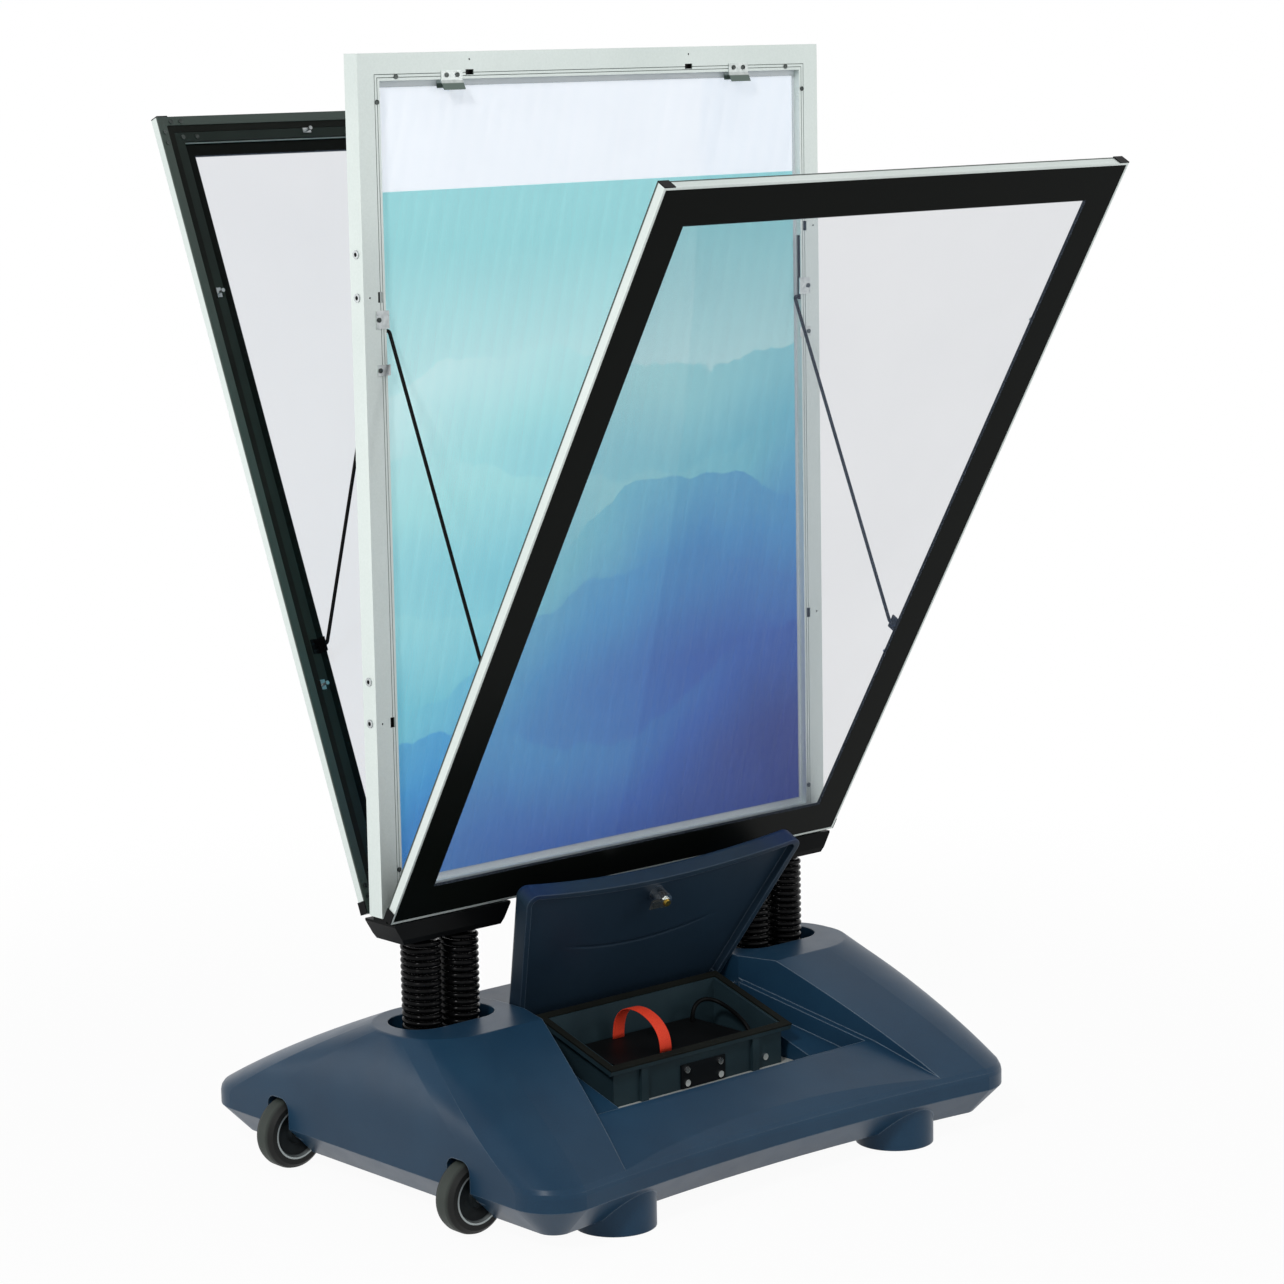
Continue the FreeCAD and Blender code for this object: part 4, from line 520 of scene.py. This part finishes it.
def tyreFinish():  # black rubber, with painted light in patches on the tread
    w = wheelLook
    f = Finish("wheelTyre")
    x, y, z = f.axes()
    treadLightPatch = f.noise(w["patchScale"], 5.0)
    tread = f.soft(abs(abs(y) - w["y"]), w["tread"] + w["treadBlur"], w["tread"] - w["treadBlur"])
    return f.principled(
        # painted highlight: the tread band lighter in patches
        Base_Color=f.mix(tread * (w["treadLightLeast"] + w["treadLightMore"] * treadLightPatch), w["tyre"], w["treadLightPatch"]),
        Roughness=f.vary(w["tyreRough"], w["roughSwing"], treadLightPatch), Specular_IOR_Level=w["tyreSpecular"],
        Normal=f.bump(f.noise(w["rubberScale"]), w["rubber"], w["bumpDepth"]),
    )


def hubFinish():  # dark moulded hub with a bright ring at its rim
    w = wheelLook
    f = Finish("wheelHub")
    x, y, z = f.axes()
    far = x - w["x"]
    high = z - w["z"]
    ring = f.soft((far * far + high * high).root(), w["rimLow"], w["rimHigh"])
    wear = f.noise(w["wearScale"], 4.0)
    return f.principled(
        Base_Color=f.mix(ring, f.tones(wear, w["hub"], w["hubWorn"], w["wearSpan"]), w["rim"]),
        Metallic=w["rimMetallic"] * ring, Roughness=f.vary(w["hubRough"], w["roughSwing"], wear),
        Specular_IOR_Level=w["hubSpecular"], Normal=f.bump(wear, w["wear"], w["bumpDepth"]),
    )


camLook = {
    "x": 0.003, "up": 0.151, "post": 0.0042, "blur": 0.0005, "brass": rgb(190, 162, 78),
    "low": rgb(146, 148, 142), "high": rgb(190, 192, 186), "metallic": 0.95,
    "rough": 0.23, "roughSwing": 0.07, "wearScale": 300.0,
}


def camFinish():  # plated arm on a brass post
    f = Finish("camPlate")
    x, up = lidPlace(f)
    far = x - camLook["x"]
    high = up - camLook["up"]
    post = f.soft((far * far + high * high).root(), camLook["post"] + camLook["blur"], camLook["post"])
    wear = f.noise(camLook["wearScale"])
    plate = f.tones(wear, camLook["low"], camLook["high"])
    return f.principled(
        Base_Color=f.mix(post, plate, camLook["brass"]), Metallic=camLook["metallic"],
        Roughness=f.vary(camLook["rough"], camLook["roughSwing"], wear),
    )


clipLook = {
    "fold": 1.191, "blur": 0.001, "shadedTab": rgb(98, 112, 106),
    "low": rgb(182, 190, 188), "high": rgb(206, 212, 210), "metallic": 0.7,
    "rough": 0.32, "roughSwing": 0.06, "wearScale": 160.0,
}


def clipFinish():  # plated clip, with painted shade on its lower tab
    f = Finish("posterClip")
    x, y, z = f.axes()
    wear = f.noise(clipLook["wearScale"], 4.0)
    plate = f.tones(wear, clipLook["low"], clipLook["high"])
    # painted shade: the lower tab darker
    shadedTab = f.soft(z, clipLook["fold"] + clipLook["blur"], clipLook["fold"])
    return f.principled(
        Base_Color=f.mix(shadedTab, plate, clipLook["shadedTab"]), Metallic=clipLook["metallic"],
        Roughness=f.vary(clipLook["rough"], clipLook["roughSwing"], wear),
    )


# One finish for each slot of the record, and the pieces that have their own

finishes = {
    "silver": railFinish("anodisedRail", insideOfFrame),
    "bright_steel": steelFinish("zincSteel", rgb(176, 182, 182), rgb(214, 218, 217), 0.3),
    "catch_steel": steelFinish("catchSteel", rgb(140, 145, 146), rgb(176, 180, 181), 0.32),
    "clear_film": filmFinish(),
    "poster_paper": posterFinish(),
    "guide_white": plasticFinish("frostedGuide", rgb(226, 233, 238), rgb(238, 243, 246), 0.4),
    "lamp_white": plasticFinish("lampStrip", rgb(228, 230, 222), rgb(242, 243, 238), 0.35),
    "seal_rubber": plasticFinish("sealRubber", rgb(20, 22, 20), rgb(28, 30, 27), 0.6, 0.06),
    "black_plastic": plasticFinish("blackMoulding", rgb(10, 11, 12), rgb(17, 19, 20), 0.36, 0.05),
    "black_steel": springFinish(),
    "slate_shell": shellFinish(),
    "box_slate": plasticFinish("boxSlate", rgb(32, 48, 55), rgb(41, 59, 66), 0.45, 0.15),
    "tray_grey": plasticFinish("trayGrey", rgb(168, 172, 168), rgb(196, 199, 195), 0.5),
    "battery_black": plasticFinish("batteryCase", rgb(8, 9, 10), rgb(15, 16, 17), 0.5, 0.05),
    "strap_red": strapFinish(),
    "cable_black": plasticFinish("cableJacket", rgb(8, 9, 10), rgb(15, 16, 17), 0.4, 0.05),
    "catch_black": plasticFinish("catchPlate", rgb(10, 13, 15), rgb(17, 21, 25), 0.4, 0.08),
    "lock_chrome": steelFinish("lockChrome", rgb(222, 226, 226), rgb(240, 242, 242), 0.14),
    "cam_brass": camFinish(),
    "tyre_black": tyreFinish(),
    "hub_grey": hubFinish(),
}
darkScrews = steelFinish("darkScrews", rgb(44, 48, 47), rgb(84, 90, 88), 0.3)
ownFinish = {
    "lid": lidFinish(),
    "poster_clips": clipFinish(),
    "box_screws": steelFinish("boxScrews", rgb(214, 218, 218), rgb(236, 238, 238), 0.16),
    "frame_screws": darkScrews,
    "front_door_screws": darkScrews,
    "rear_door_screws": darkScrews,
}
doorTilts = (("front", -1, 30.0), ("rear", 1, 22.0))  # door, the way it faces, degrees open
for door, side, tilt in doorTilts:
    ownFinish[door + "_stay_brackets"] = finishes["black_steel"]
    ownFinish[door + "_door_pane"] = paneFinish(door + "Pane", side, tilt)
    ownFinish[door + "_door_rails"] = railFinish(door + "DoorRail", insideOfDoor(side, tilt))
    ownFinish[door + "_door_retainers"] = plasticFinish(
        door + "Retainer", rgb(27, 35, 32), rgb(33, 42, 38), 0.45, 0.1,
    )
slotOf = {part["node"]: part["material_slot"] for part in frame["record"]["subparts"]}
for name, node in nodes.items():
    node.data.materials.clear()
    node.data.materials.append(ownFinish.get(name) or finishes[slotOf[name]])
print("finishes:", len(finishes) + len(ownFinish))


def keep(name, mesh, finish):  # a finished piece at the origin
    piece = bpy.data.objects.new(name, mesh)
    scene.collection.objects.link(piece)
    mesh.materials.clear()
    mesh.materials.append(finish)
    for face in mesh.polygons:
        face.use_smooth = True
    return piece


def plainMesh(carrier):  # what a curve or a modifier makes
    bpy.context.view_layer.update()
    seen = carrier.evaluated_get(bpy.context.evaluated_depsgraph_get())
    return bpy.data.meshes.new_from_object(seen)


# Springs: one tree winds the coils and stands them on their four places

springSet = {
    "coilRadius": 0.019, "wire": 0.0067, "turns": 20.5, "low": 0.1254, "high": 0.2766,
    "pairX": 0.245, "step": 0.0525, "bendFrom": 0.120, "bendTo": 0.284, "turnSteps": 28, "wireSides": 14,
}


def springTree():
    tree = bpy.data.node_groups.new("springCoil", "GeometryNodeTree")
    tree.is_modifier = True
    for way in ("INPUT", "OUTPUT"):
        tree.interface.new_socket("Geometry", in_out=way, socket_type="NodeSocketGeometry")
    sockets = {}
    for name, kind in (
        ("Coil Radius", "NodeSocketFloat"), ("Wire Radius", "NodeSocketFloat"), ("Turns", "NodeSocketFloat"),
        ("Rise", "NodeSocketFloat"), ("Finish", "NodeSocketMaterial"),
    ):
        sockets[name] = tree.interface.new_socket(name, in_out="INPUT", socket_type=kind).identifier
    given = tree.nodes.new("NodeGroupInput")
    spiral = tree.nodes.new("GeometryNodeCurveSpiral")
    spiral.inputs["Resolution"].default_value = springSet["turnSteps"]
    ring = tree.nodes.new("GeometryNodeCurvePrimitiveCircle")
    ring.inputs["Resolution"].default_value = springSet["wireSides"]
    tube = tree.nodes.new("GeometryNodeCurveToMesh")
    tube.inputs["Fill Caps"].default_value = True
    stand = tree.nodes.new("GeometryNodeInstanceOnPoints")
    real = tree.nodes.new("GeometryNodeRealizeInstances")
    paint = tree.nodes.new("GeometryNodeSetMaterial")
    done = tree.nodes.new("NodeGroupOutput")
    for source, target in (
        (given.outputs["Coil Radius"], spiral.inputs["Start Radius"]),
        (given.outputs["Coil Radius"], spiral.inputs["End Radius"]),
        (given.outputs["Turns"], spiral.inputs["Rotations"]),
        (given.outputs["Rise"], spiral.inputs["Height"]),
        (given.outputs["Wire Radius"], ring.inputs["Radius"]),
        (spiral.outputs[0], tube.inputs["Curve"]),
        (ring.outputs[0], tube.inputs["Profile Curve"]),
        (given.outputs["Geometry"], stand.inputs["Points"]),
        (tube.outputs[0], stand.inputs["Instance"]),
        (stand.outputs[0], real.inputs[0]),
        (real.outputs[0], paint.inputs["Geometry"]),
        (given.outputs["Finish"], paint.inputs["Material"]),
        (paint.outputs[0], done.inputs[0]),
    ):
        tree.links.new(source, target)
    return tree, sockets


def makeSprings():
    s = springSet
    spots = [
        (end * s["pairX"] + way * s["step"] / 2, 0.0, s["low"]) for end in (-1, 1) for way in (-1, 1)
    ]
    points = bpy.data.meshes.new("springSpots")
    points.from_pydata(spots, [], [])
    carrier = bpy.data.objects.new("springSpots", points)
    scene.collection.objects.link(carrier)
    tree, sockets = springTree()
    modifier = carrier.modifiers.new("coils", "NODES")
    modifier.node_group = tree
    for name, value in (
        ("Coil Radius", s["coilRadius"]), ("Wire Radius", s["wire"] / 2), ("Turns", s["turns"]),
        ("Rise", s["high"] - s["low"]), ("Finish", finishes["black_steel"]),
    ):
        modifier[sockets[name]] = value
    piece = keep("springCoils", plainMesh(carrier), finishes["black_steel"])
    bpy.data.objects.remove(carrier)
    print("spring faces:", len(piece.data.polygons))
    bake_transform(piece)
    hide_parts("springs")


makeSprings()
print("springs wound")


# Strap: a woven band that stands up in a loop on the battery

strapSet = {
    "x": -0.035, "width": 0.017, "thick": 0.0015, "foot": 0.130, "rise": 0.0405, "rear": -0.0525,
    "front": -0.1315, "lean": 0.16, "fullness": 0.8, "steps": 40, "across": (-1.0, -0.86, 0.0, 0.86, 1.0),
    "edgeThinning": 0.35, "edgeSharpness": 8, "keep": 0.45,
}


def strapRows():  # pairs of points, on the outer and inner face, along the loop
    s = strapSet
    middle = (s["rear"] + s["front"]) / 2
    half = (s["rear"] - s["front"]) / 2
    rows = []
    for step in range(s["steps"] + 1):
        turn = math.pi * step / s["steps"]
        lean = s["lean"] * math.sin(turn)  # the loop leans to the rear
        y = middle + half * (math.cos(turn) + lean * math.sin(turn))
        z = s["foot"] + s["rise"] * math.sin(turn) ** s["fullness"]
        out = Vector((0, math.cos(turn), math.sin(turn)))
        row = []
        for across in s["across"]:
            thinning = s["edgeThinning"] * across ** s["edgeSharpness"]
            crown = out * s["thick"] * (0.5 - thinning)
            point = Vector((s["x"] + across * s["width"] / 2, y, z))
            row.append((point + crown, point - crown))
        rows.append(row)
    return rows, middle


def makeStrap():
    rows, middle = strapRows()
    form = bmesh.new()
    top = [[form.verts.new(outer) for outer, inner in row] for row in rows]
    low = [[form.verts.new(inner) for outer, inner in row] for row in rows]
    wide = len(rows[0])
    for a in range(len(rows) - 1):
        for b in range(wide - 1):
            form.faces.new((top[a][b], top[a + 1][b], top[a + 1][b + 1], top[a][b + 1]))
            form.faces.new((low[a][b], low[a][b + 1], low[a + 1][b + 1], low[a + 1][b]))
        for b, way in ((0, 1), (wide - 1, -1)):
            edge = (top[a][b], low[a][b], low[a + 1][b], top[a + 1][b])
            form.faces.new(edge[::way])
    for a, way in ((0, -1), (len(rows) - 1, 1)):
        for b in range(wide - 1):
            edge = (top[a][b], low[a][b], low[a][b + 1], top[a][b + 1])
            form.faces.new(edge[::way])
    bmesh.ops.recalc_face_normals(form, faces=form.faces)
    mesh = bpy.data.meshes.new("batteryStrap")
    form.to_mesh(mesh)
    form.free()
    piece = keep("batteryStrapLoop", mesh, finishes["strap_red"])
    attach(piece, "base")
    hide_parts("battery_strap")
    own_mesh(piece)


makeStrap()
print("strap sewn")


# Battery cable on the route of its solid

cableSet = {
    "diameter": 0.005, "steps": 12, "roundSteps": 5,
    "route": (
        (0.070, -0.060, 0.130), (0.070, -0.060, 0.152), (0.105, -0.060, 0.152), (0.105, -0.118, 0.130),
        (0.105, -0.118, 0.106), (0.126, -0.118, 0.106),
    ),
}


def makeCable():
    c = cableSet
    curve = bpy.data.curves.new("batteryCable", "CURVE")
    curve.dimensions = "3D"
    spline = curve.splines.new("NURBS")
    spline.points.add(len(c["route"]) - 1)
    for point, place in zip(spline.points, c["route"]):
        point.co = (*place, 1.0)
    spline.order_u = 3
    spline.use_endpoint_u = True
    spline.resolution_u = c["steps"]
    line = bpy.data.objects.new("cableLine", curve)
    scene.collection.objects.link(line)
    path = [point.co.copy() for point in plainMesh(line).vertices]  # still a bare line
    curve.bevel_depth = c["diameter"] / 2
    curve.bevel_resolution = c["roundSteps"]
    curve.use_fill_caps = True
    piece = keep("batteryLead", plainMesh(line), finishes["cable_black"])
    bpy.data.objects.remove(line)
    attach(piece, "base")
    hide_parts("battery_cable")


makeCable()
print("cable laid")


# Floor, light and camera

stageSet = {"half": 14.0, "grey": 0.86, "near": 0.7, "far": 1.9, "white": 1.0, "least": 0.95}


def floorFinish():  # white to the eye, with a little of the shadow left near the sign
    f = Finish("paleFloor")
    reach = f.node("ShaderNodeVectorMath", {"operation": "LENGTH"}, {0: f.place}, out="Value")
    away = f.soft(reach, stageSet["near"], stageSet["far"])
    rays = f.node("ShaderNodeLightPath", out="Is Camera Ray")
    glossy = Val(f, rays.socket.node.outputs["Is Glossy Ray"])
    through = Val(f, rays.socket.node.outputs["Is Transmission Ray"])
    seen = f.node("ShaderNodeMath", {"operation": "MINIMUM"}, {0: rays + glossy + through, 1: 1.0})
    plain = f.node("ShaderNodeBsdfDiffuse", inputs={"Color": (*[stageSet["grey"]] * 3, 1.0)})
    white = f.node("ShaderNodeEmission", inputs={"Color": (1, 1, 1, 1), "Strength": stageSet["white"]})
    share = stageSet["least"] + (1.0 - stageSet["least"]) * away
    return f.surface(f.node("ShaderNodeMixShader", inputs={0: seen * share, 1: plain, 2: white}))


def makeStage():
    mesh = bpy.data.meshes.new("floor")
    half = stageSet["half"]
    corners = [(-half, -half, 0), (half, -half, 0), (half, half, 0), (-half, half, 0)]
    mesh.from_pydata(corners, [], [(0, 1, 2, 3)])
    floor = bpy.data.objects.new("floor", mesh)
    scene.collection.objects.link(floor)
    mesh.materials.append(floorFinish())


lampSet = (
    # name, place, aims at, size, watts
    ("keyLamp", (-3.0, -1.6, 3.0), (0, 0, 0.4), 0.6, 60.0),
    ("fillLamp", (2.2, -3.2, 1.8), (0, 0, 0.6), 1.0, 15.0),
    ("backLamp", (-3.0, 2.6, 0.45), (0, 0, 0.15), 1.2, 12.0),
)


def makeLamps():
    for name, place, aim, size, watts in lampSet:
        lamp = bpy.data.lights.new(name, "AREA")
        lamp.shape = "DISK"
        lamp.size = size
        lamp.energy = watts
        holder = bpy.data.objects.new(name, lamp)
        holder.location = place
        holder.rotation_euler = (Vector(aim) - Vector(place)).to_track_quat("-Z", "Y").to_euler()
        scene.collection.objects.link(holder)


skySet = {"light": 0.42, "white": 1.0}


def makeSky():  # plain light on the sign, white to the eye and in reflections
    scene.world = bpy.data.worlds.new("studio")
    scene.world.use_nodes = True
    tree = scene.world.node_tree
    tree.nodes.clear()
    rays = tree.nodes.new("ShaderNodeLightPath")
    total = rays.outputs["Is Camera Ray"]
    for other in ("Is Glossy Ray", "Is Transmission Ray"):
        both = tree.nodes.new("ShaderNodeMath")
        both.operation = "MAXIMUM"
        tree.links.new(total, both.inputs[0])
        tree.links.new(rays.outputs[other], both.inputs[1])
        total = both.outputs[0]
    mixed = tree.nodes.new("ShaderNodeMixShader")
    tree.links.new(total, mixed.inputs[0])
    for at, name in ((1, "light"), (2, "white")):
        glow = tree.nodes.new("ShaderNodeBackground")
        glow.inputs[0].default_value = (1, 1, 1, 1)
        glow.inputs[1].default_value = skySet[name]
        tree.links.new(glow.outputs[0], mixed.inputs[at])
    done = tree.nodes.new("ShaderNodeOutputWorld")
    tree.links.new(mixed.outputs[0], done.inputs[0])


cameraSet = {
    "place": (-2.619137, -3.021603, 1.238816), "azimuth": -41.52852, "elevation": 9.51407, "roll": 1.00672,
    "focalPixels": 3627.905, "framePixels": 1284, "sensor": 36.0, "far": 100.0,
}


def makeCamera():
    c = cameraSet
    around, upward, roll = (math.radians(c[name]) for name in ("azimuth", "elevation", "roll"))
    level = math.cos(upward)
    back = Vector((math.sin(around) * level, -math.cos(around) * level, math.sin(upward)))
    right = (-back).cross(Vector((0, 0, 1))).normalized()
    down = (-back).cross(right)
    turnedRight = right * math.cos(roll) + down * math.sin(roll)
    turnedDown = down * math.cos(roll) - right * math.sin(roll)
    lens = bpy.data.cameras.new("photoView")
    lens.sensor_width = c["sensor"]
    lens.lens = c["focalPixels"] / c["framePixels"] * c["sensor"]
    lens.clip_end = c["far"]
    holder = bpy.data.objects.new("photoView", lens)
    axes = Matrix((turnedRight, -turnedDown, back)).transposed()
    holder.matrix_world = Matrix.Translation(Vector(c["place"])) @ axes.to_4x4()
    scene.collection.objects.link(holder)
    scene.camera = holder


makeStage()
makeLamps()
makeSky()
makeCamera()
scene.view_settings.view_transform = "Standard"
print("stage lit")
